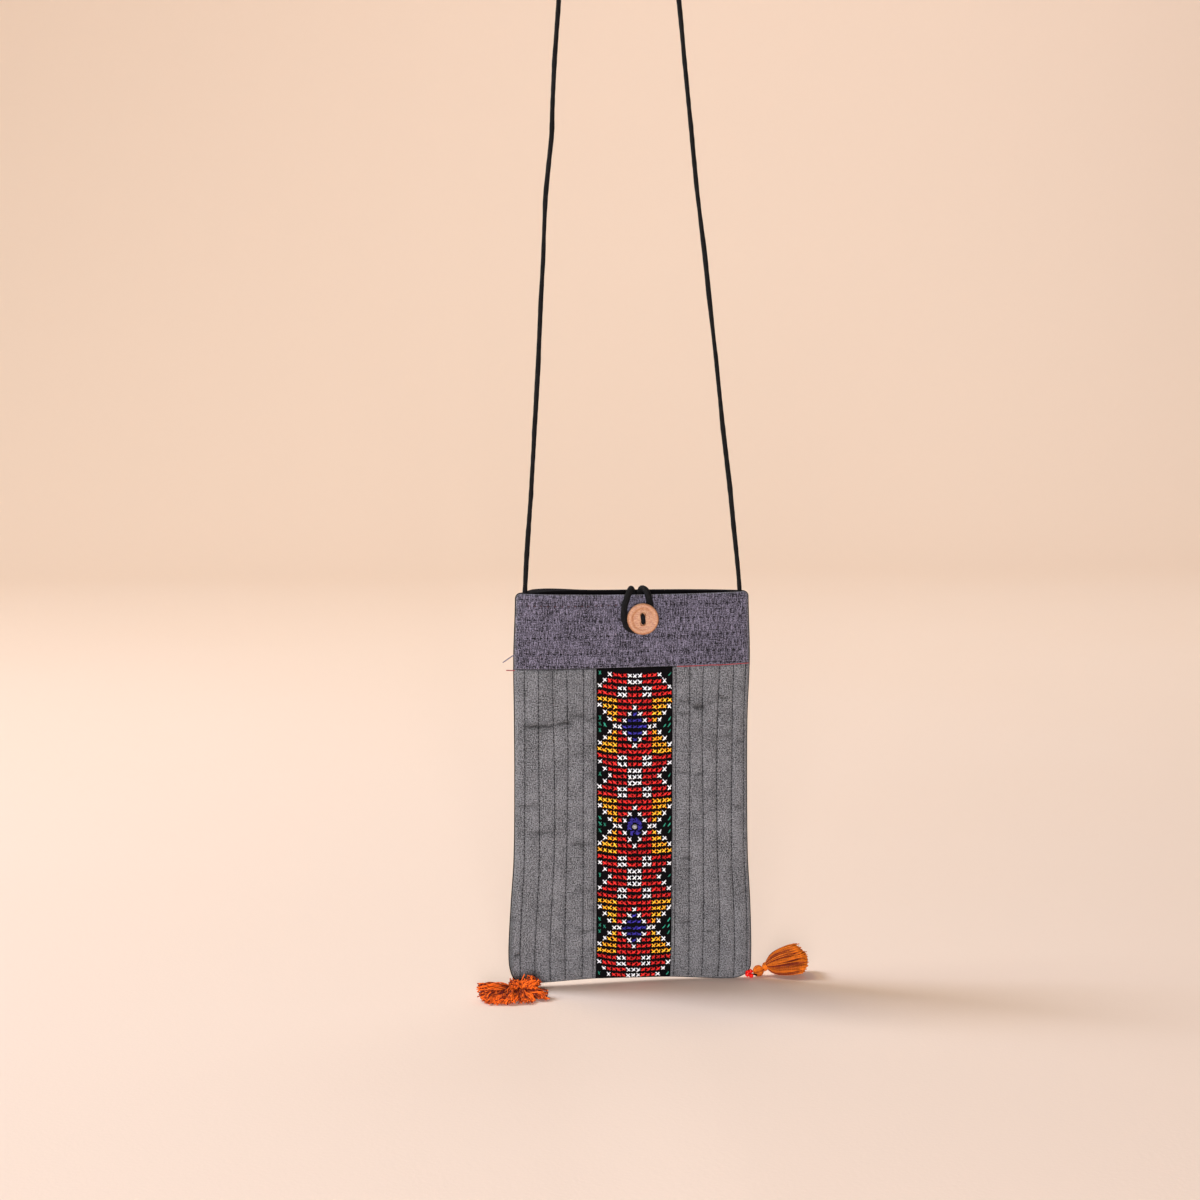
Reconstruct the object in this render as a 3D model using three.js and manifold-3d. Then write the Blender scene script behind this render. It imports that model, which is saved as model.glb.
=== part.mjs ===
// Phone sling bag: a flat quilted pouch that hangs from a thin round strap.
// Millimetres, +Z up, the front faces -Y.
// The origin is the underside of the strap's top bend, where it hangs.
// Inside the bag's own group, heights are above the bottom seam and Y = 0 is the plane of the side seams.
import * as THREE from "three";
import { mergeVertices } from "three/addons/utils/BufferGeometryUtils.js";
import Module from "manifold-3d";

const wasm = await Module();
wasm.setup();

// Driving dimensions
const GAP = 0.3;
const RIM_HEIGHT = 191.6;
const FRONT_RIM_DIP = 0.7;
const BACK_RIM = { rise: 0.6, peak: 1.4, at: 0.12, reach: 0.14 };
const RIM_CORNER = 2.6;
const BOTTOM_LEFT = { across: 5, up: 12 };
const BOTTOM_RIGHT = { across: 9, up: 7 };
const BOTTOM_ARCH = { rise: 1.6, from: 10, to: 44 };
const STRIP_FOOT = 1.2;
const POCKET_HALF = 6.05;
const FLATNESS = { power: 4, round: 0.6 };
const FRONT_WIDTH = 114.3;
const STRIP_HALF_WIDTH = 18.2;
const BAND_SEAM = { left: 155.0, right: 156.7 };

const PANEL_THICKNESS = 1.6;
const STRIP_THICKNESS = 1.8;
const BAND_THICKNESS = 1.6;
const BACK_THICKNESS = 1.4;
const LINING_THICKNESS = 1.0;
const LINING_GAP = 0.45;

// Sewn tuck lines on a grey panel, as shares of its width from the strip outwards, and the puff between them
const LEFT_TUCKS = [0.035, 0.165, 0.365, 0.53, 0.71, 0.885];
const RIGHT_TUCKS = [0.037, 0.222, 0.397, 0.592, 0.785, 0.95];
const TUCK_PUFF = 0.4;
const TUCK_DEPTH = 0.15;
const CORNER_COLUMN = 0.985;

// Side edges of the bag and how full the pouch is, from the bottom seam to the rim
const OUTLINE = [
  { z: 0, left: -60.0, right: 57.9, swell: 0 },
  { z: 6, left: -60.2, right: 58.0, swell: 0.34 },
  { z: 17, left: -60.4, right: 58.1, swell: 0.62 },
  { z: 38, left: -59.3, right: 57.4, swell: 0.86 },
  { z: 62, left: -57.7, right: 56.0, swell: 0.98 },
  { z: 96, left: -57.2, right: 55.4, swell: 1.0 },
  { z: 130, left: -57.2, right: 55.3, swell: 0.96 },
  { z: 160, left: -57.4, right: 56.2, swell: 0.86 },
  { z: 193, left: -56.4, right: 55.3, swell: 0.7 },
];

// Pressed-in folds that run across the grey panels
const CREASES = [
  { x: -38, z: 129, reach: 18, width: 3.0, depth: 0.5 },
  { x: 27, z: 140, reach: 9, width: 2.6, depth: 0.4 },
  { x: -48, z: 92, reach: 8, width: 2.6, depth: 0.35 },
];

// Strap: one round cord from corner to corner; x and z of its middle line, in the plane of the side seams
const STRAP_DIAMETER = 2.6;
const STRAP_STEPS = 76;
const STRAP_SIDES = 8;
const STRAP_TOP = { x: -8.6, z: 554 };
const STRAP_ROUTE = [
  [-52.3, 184], [-52.2, 191], [-51.6, 202], [-49.8, 229], [-47.5, 265], [-45.4, 303], [-43.4, 342],
  [-41.6, 379], [-40.5, 391], [-38.9, 407], [-38.4, 420], [-37.4, 439], [-35.4, 469], [-32.9, 505],
  [-31.0, 531], [-26.8, 544], [-18.6, 552], [STRAP_TOP.x, STRAP_TOP.z], [1.4, 552], [9.6, 544],
  [13.8, 531], [16.9, 505], [20.7, 469], [23.7, 441], [26.8, 410], [30.4, 377], [35.2, 338],
  [39.4, 301], [43.1, 268], [46.9, 236], [50.4, 204], [51.4, 191], [51.5, 184],
];

// Button loop: a round fabric cord from inside the back of the mouth, over the front rim and round the button
const LOOP_DIAMETER = 3.2;
const LOOP_STEPS = 44;
const LOOP_ROUTE = [
  [-0.4, 0.9, 189.4], [-0.7, 0.5, 191.1], [-1.1, -0.9, 192.7], [-1.6, -2.8, 193.4], [-2.1, -5.5, 193.4],
  [-3.0, -7.75, 192.0], [-4.1, -8.3, 188.8], [-5.0, -8.35, 185.9], [-5.25, -8.35, 182.6], [-5.2, -8.35, 179.8],
  [-4.5, -8.4, 176.9], [-2.9, -8.5, 174.9], [0.2, -8.6, 174.1], [3.7, -8.6, 174.5], [6.0, -8.5, 176.4],
  [6.9, -8.4, 179.2], [7.2, -8.35, 182.6], [7.2, -8.3, 186.0], [6.7, -8.15, 189.2], [6.0, -7.75, 191.8],
  [5.0, -5.5, 193.3], [4.0, -2.8, 193.4], [3.5, -0.9, 192.7], [3.2, 0.5, 191.1], [3.0, 0.9, 189.4],
];

// Button, its two holes one above the other, and the thread through them
const BUTTON = { x: 3.3, z: 180.0, radius: 7.5, thickness: 2.6, dish: 0.3, back: -10.5 };
const BUTTON_HOLE = { radius: 1.25, spacing: 3.8 };
const THREAD = { length: 6.0, width: 2.2, rise: 0.8, leg: 0.9 };

// Tassels at the lower corners, lying on the surface just under the bag
const GROUND = -2.5;
const BEAD_RADIUS = 1.05;
const BEAD_SPREAD = 0.85;
const HEAD_RADIUS = 2.8;
const RIGHT_TASSEL = {
  bead: [57.9, 0.2, 1.1],
  head: [62.6, 2.4, 2.2],
  root: [62.6, 2.4, 3.9],
  tip: [86.8, 3.4, 8.5],
};
const RIGHT_SKIRT = [
  { along: 2.9, radius: 1.7 },
  { along: 4.6, radius: 1.8 },
  { along: 6.0, radius: 3.9 },
  { along: 8.8, radius: 5.6 },
  { along: 14.0, radius: 6.9 },
  { along: 19.5, radius: 7.2 },
  { along: 22.6, radius: 6.3 },
  { along: 24.2, radius: 4.4 },
];
const LEFT_TASSEL = { bead: [-58.0, -1.4, -0.5], head: [-58.6, -6.3, 0.5] };
const LEFT_SKIRT = { x: -59.4, y: -20.6, across: 16.9, deep: 11.7, low: 8.0, high: 10.6, dent: 0.3 };

const COLOURS = {
  grey_quilting: { color: 0x77777a, roughness: 0.95, metalness: 0 },
  slate_band: { color: 0x63606f, roughness: 0.95, metalness: 0 },
  black_cotton: { color: 0x161416, roughness: 0.9, metalness: 0 },
  cross_stitch: { color: 0xb5211f, roughness: 0.8, metalness: 0 },
  strap_cord: { color: 0x1d1b1e, roughness: 0.75, metalness: 0 },
  wooden_button: { color: 0xd39a70, roughness: 0.6, metalness: 0 },
  red_beads: { color: 0xd11510, roughness: 0.2, metalness: 0 },
  tassel_thread: { color: 0xc8681c, roughness: 0.85, metalness: 0 },
};

// Smooth value of one column of a table at height z: a cubic through its rows, flat at both ends
function smooth(table, z, column) {
  const last = table.length - 1;
  const clamped = THREE.MathUtils.clamp(z, table[0].z, table[last].z);
  const above = Math.max(1, table.findIndex((row) => row.z >= clamped));
  const slope = (i) => {
    if (i === 0 || i === last) return 0;
    return (table[i + 1][column] - table[i - 1][column]) / (table[i + 1].z - table[i - 1].z);
  };
  const [low, high] = [table[above - 1], table[above]];
  const span = high.z - low.z;
  const f = (clamped - low.z) / span;
  const start = low[column] * (1 + 2 * f) + slope(above - 1) * span * f;
  const end = high[column] * (3 - 2 * f) - slope(above) * span * (1 - f);
  return start * (1 - f) ** 2 + end * f ** 2;
}

const leftEdge = (z) => smooth(OUTLINE, z, "left");
const rightEdge = (z) => smooth(OUTLINE, z, "right");

// Quarter-ellipse lift of an edge towards a corner: full at the side, none further in than the corner's reach
function cornerLift(inset, across, up) {
  const q = THREE.MathUtils.clamp(1 - inset / across, 0, 1);
  return up * (1 - Math.sqrt(1 - q * q));
}

// Height of the bottom seam at a distance in from a side edge
// A side is -1 for the left one and +1 for the right one
function bottomHeight(inset, side) {
  const corner = side < 0 ? BOTTOM_LEFT : BOTTOM_RIGHT;
  const arch = BOTTOM_ARCH.rise * THREE.MathUtils.smoothstep(inset, BOTTOM_ARCH.from, BOTTOM_ARCH.to);
  return arch + cornerLift(inset, corner.across, corner.up);
}

// Rim heights at a share of the width, both with round corners
// The front rim dips a little in the middle; the back rim stands higher, most of all near its left end
function rimHeight(share, rise) {
  const inset = Math.min(share, 1 - share) * FRONT_WIDTH;
  return RIM_HEIGHT + rise - cornerLift(inset, RIM_CORNER, RIM_CORNER);
}
const bow = (share) => 4 * share * (1 - share);
const frontRim = (share) => rimHeight(share, -FRONT_RIM_DIP * bow(share));
function backRim(share) {
  const peak = BACK_RIM.peak * Math.exp(-(((share - BACK_RIM.at) / BACK_RIM.reach) ** 2));
  const start = THREE.MathUtils.smoothstep(share, 0.02, 0.08);
  return rimHeight(share, (BACK_RIM.rise * bow(share) + peak) * start);
}

// Half the space between the front and back walls' inner faces
function halfSpace(x, z, lift) {
  const middle = (leftEdge(z) + rightEdge(z)) / 2;
  const half = (rightEdge(z) - leftEdge(z)) / 2;
  const u = Math.min(1, Math.abs(x - middle) / half);
  const across = (1 - u ** FLATNESS.power) ** FLATNESS.round;
  return GAP / 2 + POCKET_HALF * across * smooth(OUTLINE, z - lift, "swell");
}

function creaseDepth(x, z) {
  const dent = (c) => c.depth * Math.exp(-(((x - c.x) / c.reach) ** 2) - ((z - c.z) / c.width) ** 2);
  return CREASES.reduce((sum, c) => sum + dent(c), 0);
}

function geometryOf(points, faces) {
  const geometry = new THREE.BufferGeometry();
  geometry.setAttribute("position", new THREE.Float32BufferAttribute(points.flat(), 3));
  geometry.setIndex(faces.flat());
  geometry.computeVertexNormals();
  return geometry;
}

// Closed wall between a face towards -Y and a face towards +Y
// Both faces are functions of a column's and a row's share
function wall(columns, rows, frontFace, backFace) {
  const [wide, high] = [columns.length, rows.length];
  const grid = (face) => rows.flatMap((t) => columns.map((s) => face(s, t)));
  const points = [...grid(frontFace), ...grid(backFace)];
  const front = (i, j) => j * wide + i;
  const back = (i, j) => wide * high + j * wide + i;
  const faces = [];
  const quad = (a, b, c, d) => faces.push([a, b, c], [a, c, d]);
  for (let j = 0; j + 1 < high; j += 1) {
    for (let i = 0; i + 1 < wide; i += 1) {
      quad(front(i, j), front(i + 1, j), front(i + 1, j + 1), front(i, j + 1));
      quad(back(i, j), back(i, j + 1), back(i + 1, j + 1), back(i + 1, j));
    }
    quad(front(0, j), front(0, j + 1), back(0, j + 1), back(0, j));
    quad(front(wide - 1, j), back(wide - 1, j), back(wide - 1, j + 1), front(wide - 1, j + 1));
  }
  for (let i = 0; i + 1 < wide; i += 1) {
    quad(front(i, 0), back(i, 0), back(i + 1, 0), front(i + 1, 0));
    quad(front(i, high - 1), front(i + 1, high - 1), back(i + 1, high - 1), back(i, high - 1));
  }
  return geometryOf(points, faces);
}

// Even shares from 0 to 1, drawn together towards 0 by a power
const shares = (count, power = 1) => Array.from({ length: count + 1 }, (_, i) => (i / count) ** power);

// Columns of a wall that spans the whole bag, drawn together at its round corners
const EDGE_TO_EDGE = [0, 0.008, 0.023, ...shares(14).map((f) => 0.06 + 0.88 * f), 0.977, 0.992, 1];

// Height of the seam under the top band at a share of the bag's width
const bandSeam = (share) => THREE.MathUtils.lerp(BAND_SEAM.left, BAND_SEAM.right, share);

// One grey quilted panel; side is -1 for the left one and +1 for the right one
function quiltedPanel(side) {
  const inner = side * (STRIP_HALF_WIDTH + GAP / 2);
  const fullShare = 1 - STRIP_HALF_WIDTH / (FRONT_WIDTH / 2);
  const tucks = side < 0 ? LEFT_TUCKS : RIGHT_TUCKS;
  const middles = tucks.slice(1).map((line, i) => (line + tucks[i]) / 2);
  const fromStrip = [0, ...tucks, ...middles, CORNER_COLUMN, 1].sort((a, b) => a - b);
  const columns = side < 0 ? fromStrip.map((f) => 1 - f).reverse() : fromStrip;
  const awayFromStrip = (f) => (side < 0 ? 1 - f : f);
  const place = (f, t) => {
    const out = awayFromStrip(f);
    const inset = (1 - out) * fullShare * (FRONT_WIDTH / 2);
    const low = bottomHeight(inset, side);
    const share = 0.5 + side * (0.5 - inset / FRONT_WIDTH);
    const z = THREE.MathUtils.lerp(low, bandSeam(share) - GAP / 2, t);
    const edge = side < 0 ? leftEdge(z) : rightEdge(z);
    return { x: THREE.MathUtils.lerp(inner, edge, out), z, low };
  };
  const puff = (f) => {
    const out = awayFromStrip(f);
    if (tucks.some((line) => Math.abs(line - out) < 1e-6)) return -TUCK_DEPTH;
    return middles.some((middle) => Math.abs(middle - out) < 1e-6) ? TUCK_PUFF : 0;
  };
  const face = (f, t, depth) => {
    const { x, z, low } = place(f, t);
    return [x, -(halfSpace(x, z, low) + depth(x, z)), z];
  };
  const outer = (f, t) => face(f, t, (x, z) => PANEL_THICKNESS + puff(f) - creaseDepth(x, z));
  const lined = (f, t) => face(f, t, () => 0);
  return wall(columns, shares(20, 1.25), outer, lined);
}

// Black strip of cross-stitch between the two panels
function embroideredStrip() {
  const face = (f, t, depth) => {
    const x = THREE.MathUtils.lerp(-1, 1, f) * (STRIP_HALF_WIDTH - GAP / 2);
    const z = THREE.MathUtils.lerp(STRIP_FOOT, bandSeam(0.5 + x / FRONT_WIDTH) - GAP / 2, t);
    return [x, -(halfSpace(x, z, STRIP_FOOT) + depth), z];
  };
  return wall(shares(6), shares(20, 1.25), (f, t) => face(f, t, STRIP_THICKNESS), (f, t) => face(f, t, 0));
}

// Slate band across the top of the front
function topBand() {
  const face = (f, t, depth) => {
    const z = THREE.MathUtils.lerp(bandSeam(f) + GAP / 2, frontRim(f), t);
    const x = THREE.MathUtils.lerp(leftEdge(z), rightEdge(z), f);
    return [x, -(halfSpace(x, z, 0) + depth), z];
  };
  return wall(EDGE_TO_EDGE, shares(7), (f, t) => face(f, t, BAND_THICKNESS), (f, t) => face(f, t, 0));
}

// Plain black back, from the bottom seam to its own rim
function backPanel() {
  const face = (f, t, depth) => {
    const low = bottomHeight(Math.min(f, 1 - f) * FRONT_WIDTH, f < 0.5 ? -1 : 1);
    const z = THREE.MathUtils.lerp(low, backRim(f), t);
    const x = THREE.MathUtils.lerp(leftEdge(z), rightEdge(z), f);
    return [x, halfSpace(x, z, low) + depth, z];
  };
  return wall(EDGE_TO_EDGE, shares(18, 1.2), (f, t) => face(f, t, 0), (f, t) => face(f, t, BACK_THICKNESS));
}

// Black lining: a slim pouch inside the walls, closed at its sides and bottom and open at the rim
function lining() {
  const columns = 16;
  const rows = 10;
  const halfWidth = 49.4;
  const bottom = 8.6;
  const across = shares(columns).map((f) => -Math.cos(Math.PI * f));
  const front = across.map((u) => ({ u, side: -1 }));
  const behind = across.slice(1, -1).reverse().map((u) => ({ u, side: 1 }));
  const ring = [...front, ...behind];
  const pointOn = ({ u, side }, t, inset) => {
    const share = 0.5 + (u * halfWidth) / FRONT_WIDTH;
    const rim = side < 0 ? frontRim(share) : backRim(share);
    const top = THREE.MathUtils.lerp(RIM_HEIGHT, rim, 1 - u * u) - GAP;
    const z = THREE.MathUtils.lerp(bottom + inset, top, t);
    const middle = (leftEdge(z) + rightEdge(z)) / 2;
    const deep = halfSpace(middle, z, BOTTOM_ARCH.rise) - LINING_GAP - inset;
    return [middle + u * (halfWidth - inset), side * deep * Math.sqrt(1 - Math.abs(u) ** 3), z];
  };
  const levels = shares(rows, 1.3);
  const outside = levels.flatMap((t) => ring.map((p) => pointOn(p, t, 0)));
  const inside = levels.flatMap((t) => ring.map((p) => pointOn(p, t, LINING_THICKNESS)));
  const count = ring.length;
  const out = (i, j) => j * count + (i % count);
  const inn = (i, j) => outside.length + j * count + (i % count);
  const faces = [];
  const quad = (a, b, c, d) => faces.push([a, b, c], [a, c, d]);
  for (let i = 0; i < count; i += 1) {
    for (let j = 0; j < rows; j += 1) {
      quad(out(i, j), out(i + 1, j), out(i + 1, j + 1), out(i, j + 1));
      quad(inn(i, j), inn(i, j + 1), inn(i + 1, j + 1), inn(i + 1, j));
    }
    quad(out(i, rows), out(i + 1, rows), inn(i + 1, rows), inn(i, rows));
  }
  for (let i = 0; i < columns; i += 1) {
    const [a, b, c, d] = [i, i + 1, count - i - 1, count - i];
    quad(out(a, 0), out(d, 0), out(c, 0), out(b, 0));
    quad(inn(a, 0), inn(b, 0), inn(c, 0), inn(d, 0));
  }
  const flat = faces.filter(([a, b, c]) => a !== b && b !== c && a !== c);
  return geometryOf([...outside, ...inside], flat);
}

// Round cord along a smooth curve through its route
function cord(route, diameter, sides, steps) {
  const section = new THREE.Shape();
  for (let i = 0; i < sides; i += 1) {
    const angle = (i / sides) * 2 * Math.PI;
    const [x, y] = [(Math.cos(angle) * diameter) / 2, (Math.sin(angle) * diameter) / 2];
    if (i === 0) section.moveTo(x, y);
    else section.lineTo(x, y);
  }
  const path = new THREE.CatmullRomCurve3(route.map((p) => new THREE.Vector3(...p)));
  return new THREE.ExtrudeGeometry(section, { steps, extrudePath: path, curveSegments: 1 });
}

function solidOf(geometry) {
  const bare = geometry.clone();
  bare.deleteAttribute("normal");
  bare.deleteAttribute("uv");
  const merged = mergeVertices(bare, 1e-4);
  const vertProperties = new Float32Array(merged.attributes.position.array);
  const triVerts = new Uint32Array(merged.index.array);
  return new wasm.Manifold(new wasm.Mesh({ numProp: 3, vertProperties, triVerts }));
}

function geometryFrom(solid) {
  const mesh = solid.getMesh();
  const geometry = new THREE.BufferGeometry();
  geometry.setAttribute("position", new THREE.BufferAttribute(new Float32Array(mesh.vertProperties), 3));
  geometry.setIndex(new THREE.BufferAttribute(new Uint32Array(mesh.triVerts), 1));
  geometry.computeVertexNormals();
  return geometry;
}

// Front of the top band behind the button's lower hole, where the thread is sewn
const holeHeights = [BUTTON.z - BUTTON_HOLE.spacing / 2, BUTTON.z + BUTTON_HOLE.spacing / 2];
const bandFace = -(halfSpace(BUTTON.x, holeHeights[0], 0) + BAND_THICKNESS);

// Upright peg along Y from one depth to another
function peg(x, z, radius, nearY, farY) {
  const length = farY - nearY;
  return new THREE.CylinderGeometry(radius, radius, length, 12).translate(x, nearY + length / 2, z);
}

// Wooden disc with rounded edges, a dished front and two sewing holes
function button() {
  const { radius, thickness, dish } = BUTTON;
  const front = -thickness;
  const profile = [
    [0, front + dish],
    [radius * 0.62, front + dish],
    [radius * 0.76, front],
    [radius * 0.9, front],
    [radius, front + thickness * 0.28],
    [radius, -thickness * 0.28],
    [radius * 0.92, 0],
    [0, 0],
  ].map(([r, y]) => new THREE.Vector2(r, y));
  const disc = new THREE.LatheGeometry(profile, 36).translate(BUTTON.x, BUTTON.back, BUTTON.z);
  const far = BUTTON.back + 1;
  const near = BUTTON.back - thickness - 1;
  const holes = holeHeights.map((z) => solidOf(peg(BUTTON.x, z, BUTTON_HOLE.radius, near, far)));
  return geometryFrom(holes.reduce((solid, hole) => solid.subtract(hole), solidOf(disc)));
}

// Black thread: a bar over the front of the button and two legs through its holes to the band
function buttonThread() {
  const half = THREAD.width / 2;
  const reach = THREAD.length / 2 - half;
  const outline = new THREE.Shape();
  outline.moveTo(half, -reach);
  outline.absarc(0, reach, half, 0, Math.PI);
  outline.absarc(0, -reach, half, Math.PI, 2 * Math.PI);
  const seat = BUTTON.back - BUTTON.thickness + BUTTON.dish - GAP;
  const flat = { depth: THREAD.rise, bevelEnabled: false, curveSegments: 8 };
  const bar = new THREE.ExtrudeGeometry(outline, flat)
    .rotateX(Math.PI / 2)
    .translate(BUTTON.x, seat, BUTTON.z);
  const [near, far] = [seat - THREAD.rise / 2, bandFace - GAP];
  const legs = holeHeights.map((z) => solidOf(peg(BUTTON.x, z, THREAD.leg, near, far)));
  return geometryFrom(legs.reduce((solid, leg) => solid.add(leg), solidOf(bar)));
}

// Four red seed beads threaded together in one small cluster
function beadCluster([x, y, z]) {
  const corners = [[1, 1, 1], [1, -1, -1], [-1, 1, -1], [-1, -1, 1]];
  const beads = corners.map((corner) => {
    const [dx, dy, dz] = corner.map((c) => c * BEAD_SPREAD);
    return solidOf(new THREE.SphereGeometry(BEAD_RADIUS, 10, 6).translate(x + dx, y + dy, z + dz));
  });
  const thread = solidOf(new THREE.SphereGeometry(BEAD_SPREAD, 10, 6).translate(x, y, z));
  return geometryFrom(beads.reduce((solid, bead) => solid.add(bead), thread));
}

// Ball of wrapped thread at the top of a tassel
const tasselHead = (centre) => new THREE.SphereGeometry(HEAD_RADIUS, 16, 10).translate(...centre);

// Skirt of the right tassel: a flaring bundle along the line from its root in the head to its tip
function flaredSkirt() {
  const profile = RIGHT_SKIRT.map(({ along, radius }) => new THREE.Vector2(radius, along));
  const first = new THREE.Vector2(0, RIGHT_SKIRT[0].along);
  const last = new THREE.Vector2(0, RIGHT_SKIRT.at(-1).along);
  const closed = [first, ...profile, last];
  const root = new THREE.Vector3(...RIGHT_TASSEL.root);
  const direction = new THREE.Vector3(...RIGHT_TASSEL.tip).sub(root).normalize();
  const turn = new THREE.Quaternion().setFromUnitVectors(new THREE.Vector3(0, 1, 0), direction);
  return new THREE.LatheGeometry(closed, 24).applyQuaternion(turn).translate(...RIGHT_TASSEL.root);
}

// Skirt of the left tassel: splayed flat on the ground in two lobes, higher on the right
function splayedSkirt() {
  const { x, y, across, deep, low, high, dent } = LEFT_SKIRT;
  const geometry = new THREE.SphereGeometry(1, 24, 12).rotateX(Math.PI / 2);
  const position = geometry.attributes.position;
  const corner = new THREE.Vector3();
  for (let i = 0; i < position.count; i += 1) {
    corner.fromBufferAttribute(position, i);
    const waist = 1 - dent * Math.exp(-((corner.x / 0.3) ** 2));
    const tall = THREE.MathUtils.lerp(low, high, THREE.MathUtils.smoothstep(corner.x, -0.6, 0.6));
    const rise = corner.z > 0 ? corner.z * tall * waist : corner.z * 0.6;
    const back = corner.y > 0 ? corner.y * deep : corner.y * deep * waist;
    position.setXYZ(i, x + corner.x * across, y + back, GROUND + 0.7 + rise);
  }
  return geometry;
}

const flatRoute = STRAP_ROUTE.map(([x, z]) => [x, 0, z]);
const PIECES = [
  ["front_panel_left", quiltedPanel(-1), "grey_quilting"],
  ["front_panel_right", quiltedPanel(1), "grey_quilting"],
  ["embroidered_strip", embroideredStrip(), "cross_stitch"],
  ["top_band", topBand(), "slate_band"],
  ["back_panel", backPanel(), "black_cotton"],
  ["lining", lining(), "black_cotton"],
  ["strap_cord", cord(flatRoute, STRAP_DIAMETER, STRAP_SIDES, STRAP_STEPS), "strap_cord"],
  ["button_loop", cord(LOOP_ROUTE, LOOP_DIAMETER, STRAP_SIDES, LOOP_STEPS), "strap_cord"],
  ["button", button(), "wooden_button"],
  ["button_thread", buttonThread(), "black_cotton"],
  ["tassel_right_beads", beadCluster(RIGHT_TASSEL.bead), "red_beads"],
  ["tassel_right_head", tasselHead(RIGHT_TASSEL.head), "tassel_thread"],
  ["tassel_right_skirt", flaredSkirt(), "tassel_thread"],
  ["tassel_left_beads", beadCluster(LEFT_TASSEL.bead), "red_beads"],
  ["tassel_left_head", tasselHead(LEFT_TASSEL.head), "tassel_thread"],
  ["tassel_left_skirt", splayedSkirt(), "tassel_thread"],
];

const bag = new THREE.Group();
for (const [name, geometry, colour] of PIECES) {
  const mesh = new THREE.Mesh(geometry, new THREE.MeshStandardMaterial(COLOURS[colour]));
  mesh.name = name;
  bag.add(mesh);
}
bag.position.set(-STRAP_TOP.x, 0, -(STRAP_TOP.z - STRAP_DIAMETER / 2));

const slingBag = new THREE.Group();
slingBag.add(bag);

export default slingBag;
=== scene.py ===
"""Looks of a phone sling bag: quilted cloth, cross-stitch, strap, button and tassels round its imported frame.

Lengths are millimetres in the bag's own frame: X to the right, Y to the back and Z up from the bottom seam.
A mesh is moved into the row frame, in metres, when it is placed.
"""
import logging
import math
from dataclasses import dataclass, field
from enum import Enum
from functools import cache
from typing import Protocol

import bpy
import numpy as np
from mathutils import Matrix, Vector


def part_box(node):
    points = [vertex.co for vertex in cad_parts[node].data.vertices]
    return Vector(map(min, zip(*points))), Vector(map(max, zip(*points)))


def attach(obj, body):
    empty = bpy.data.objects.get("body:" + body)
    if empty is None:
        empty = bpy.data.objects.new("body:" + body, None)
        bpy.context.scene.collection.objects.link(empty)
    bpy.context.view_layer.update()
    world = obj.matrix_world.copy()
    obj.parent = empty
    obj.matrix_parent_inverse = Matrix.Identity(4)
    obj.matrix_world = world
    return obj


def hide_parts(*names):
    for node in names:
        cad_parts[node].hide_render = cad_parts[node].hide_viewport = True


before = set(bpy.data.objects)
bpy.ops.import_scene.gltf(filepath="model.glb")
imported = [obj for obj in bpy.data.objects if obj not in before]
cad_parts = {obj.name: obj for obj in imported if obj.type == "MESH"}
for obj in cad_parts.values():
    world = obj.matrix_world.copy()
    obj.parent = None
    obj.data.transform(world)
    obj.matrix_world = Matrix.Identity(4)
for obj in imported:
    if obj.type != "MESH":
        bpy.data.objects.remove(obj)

Array = np.ndarray
Colour = tuple[float, float, float, float]
Place = tuple[float, float, float]
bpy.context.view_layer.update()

LOG = logging.getLogger("sling_bag")
MM = 0.001
BODY = "root"
CLOTH_MAP = "cloth"
# Point number that darkens cloth: painted shade in creases, tuck grooves and band pits, and the real worn edge
SHADE_AND_WEAR = "shade_and_wear"
TINT = "tint"
POINTS_IN_A_SPAN = 40


def table(columns: str, *rows: tuple[float, ...]) -> Array:
    """Rows of numbers as one array with named columns."""
    return np.array(list(rows), dtype=[(name, float) for name in columns.split()])


class Slot(Enum):
    """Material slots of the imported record."""

    QUILTING = "grey_quilting"
    BAND = "slate_band"
    BLACK = "black_cotton"
    CROSS_STITCH = "cross_stitch"
    CORD = "strap_cord"
    WOOD = "wooden_button"
    BEADS = "red_beads"
    TASSEL = "tassel_thread"


class Side(Enum):
    """Side of the bag, seen from the front, with the sign of X there."""

    LEFT = -1
    RIGHT = 1


class Yarn(Enum):
    """Embroidery yarns, by their letter in the chart."""

    RED = "R"
    WHITE = "W"
    YELLOW = "Y"
    BLUE = "B"
    GREEN = "G"


# Side edges of the bag and how full the pouch is, from the bottom seam to the rim
OUTLINE = table(
    "z left right swell",
    (0, -60.0, 57.9, 0), (6, -60.2, 58.0, 0.34), (17, -60.4, 58.1, 0.62), (38, -59.3, 57.4, 0.86),
    (62, -57.7, 56.0, 0.98), (96, -57.2, 55.4, 1.0), (130, -57.2, 55.3, 0.96), (160, -57.4, 56.2, 0.86),
    (193, -56.4, 55.3, 0.7),
)

# Sewn tuck lines on each grey panel, as shares of its width from the strip outwards
TUCK_LINES = {
    Side.LEFT: (0.035, 0.165, 0.365, 0.53, 0.71, 0.885),
    Side.RIGHT: (0.037, 0.222, 0.397, 0.592, 0.785, 0.95),
}
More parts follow.
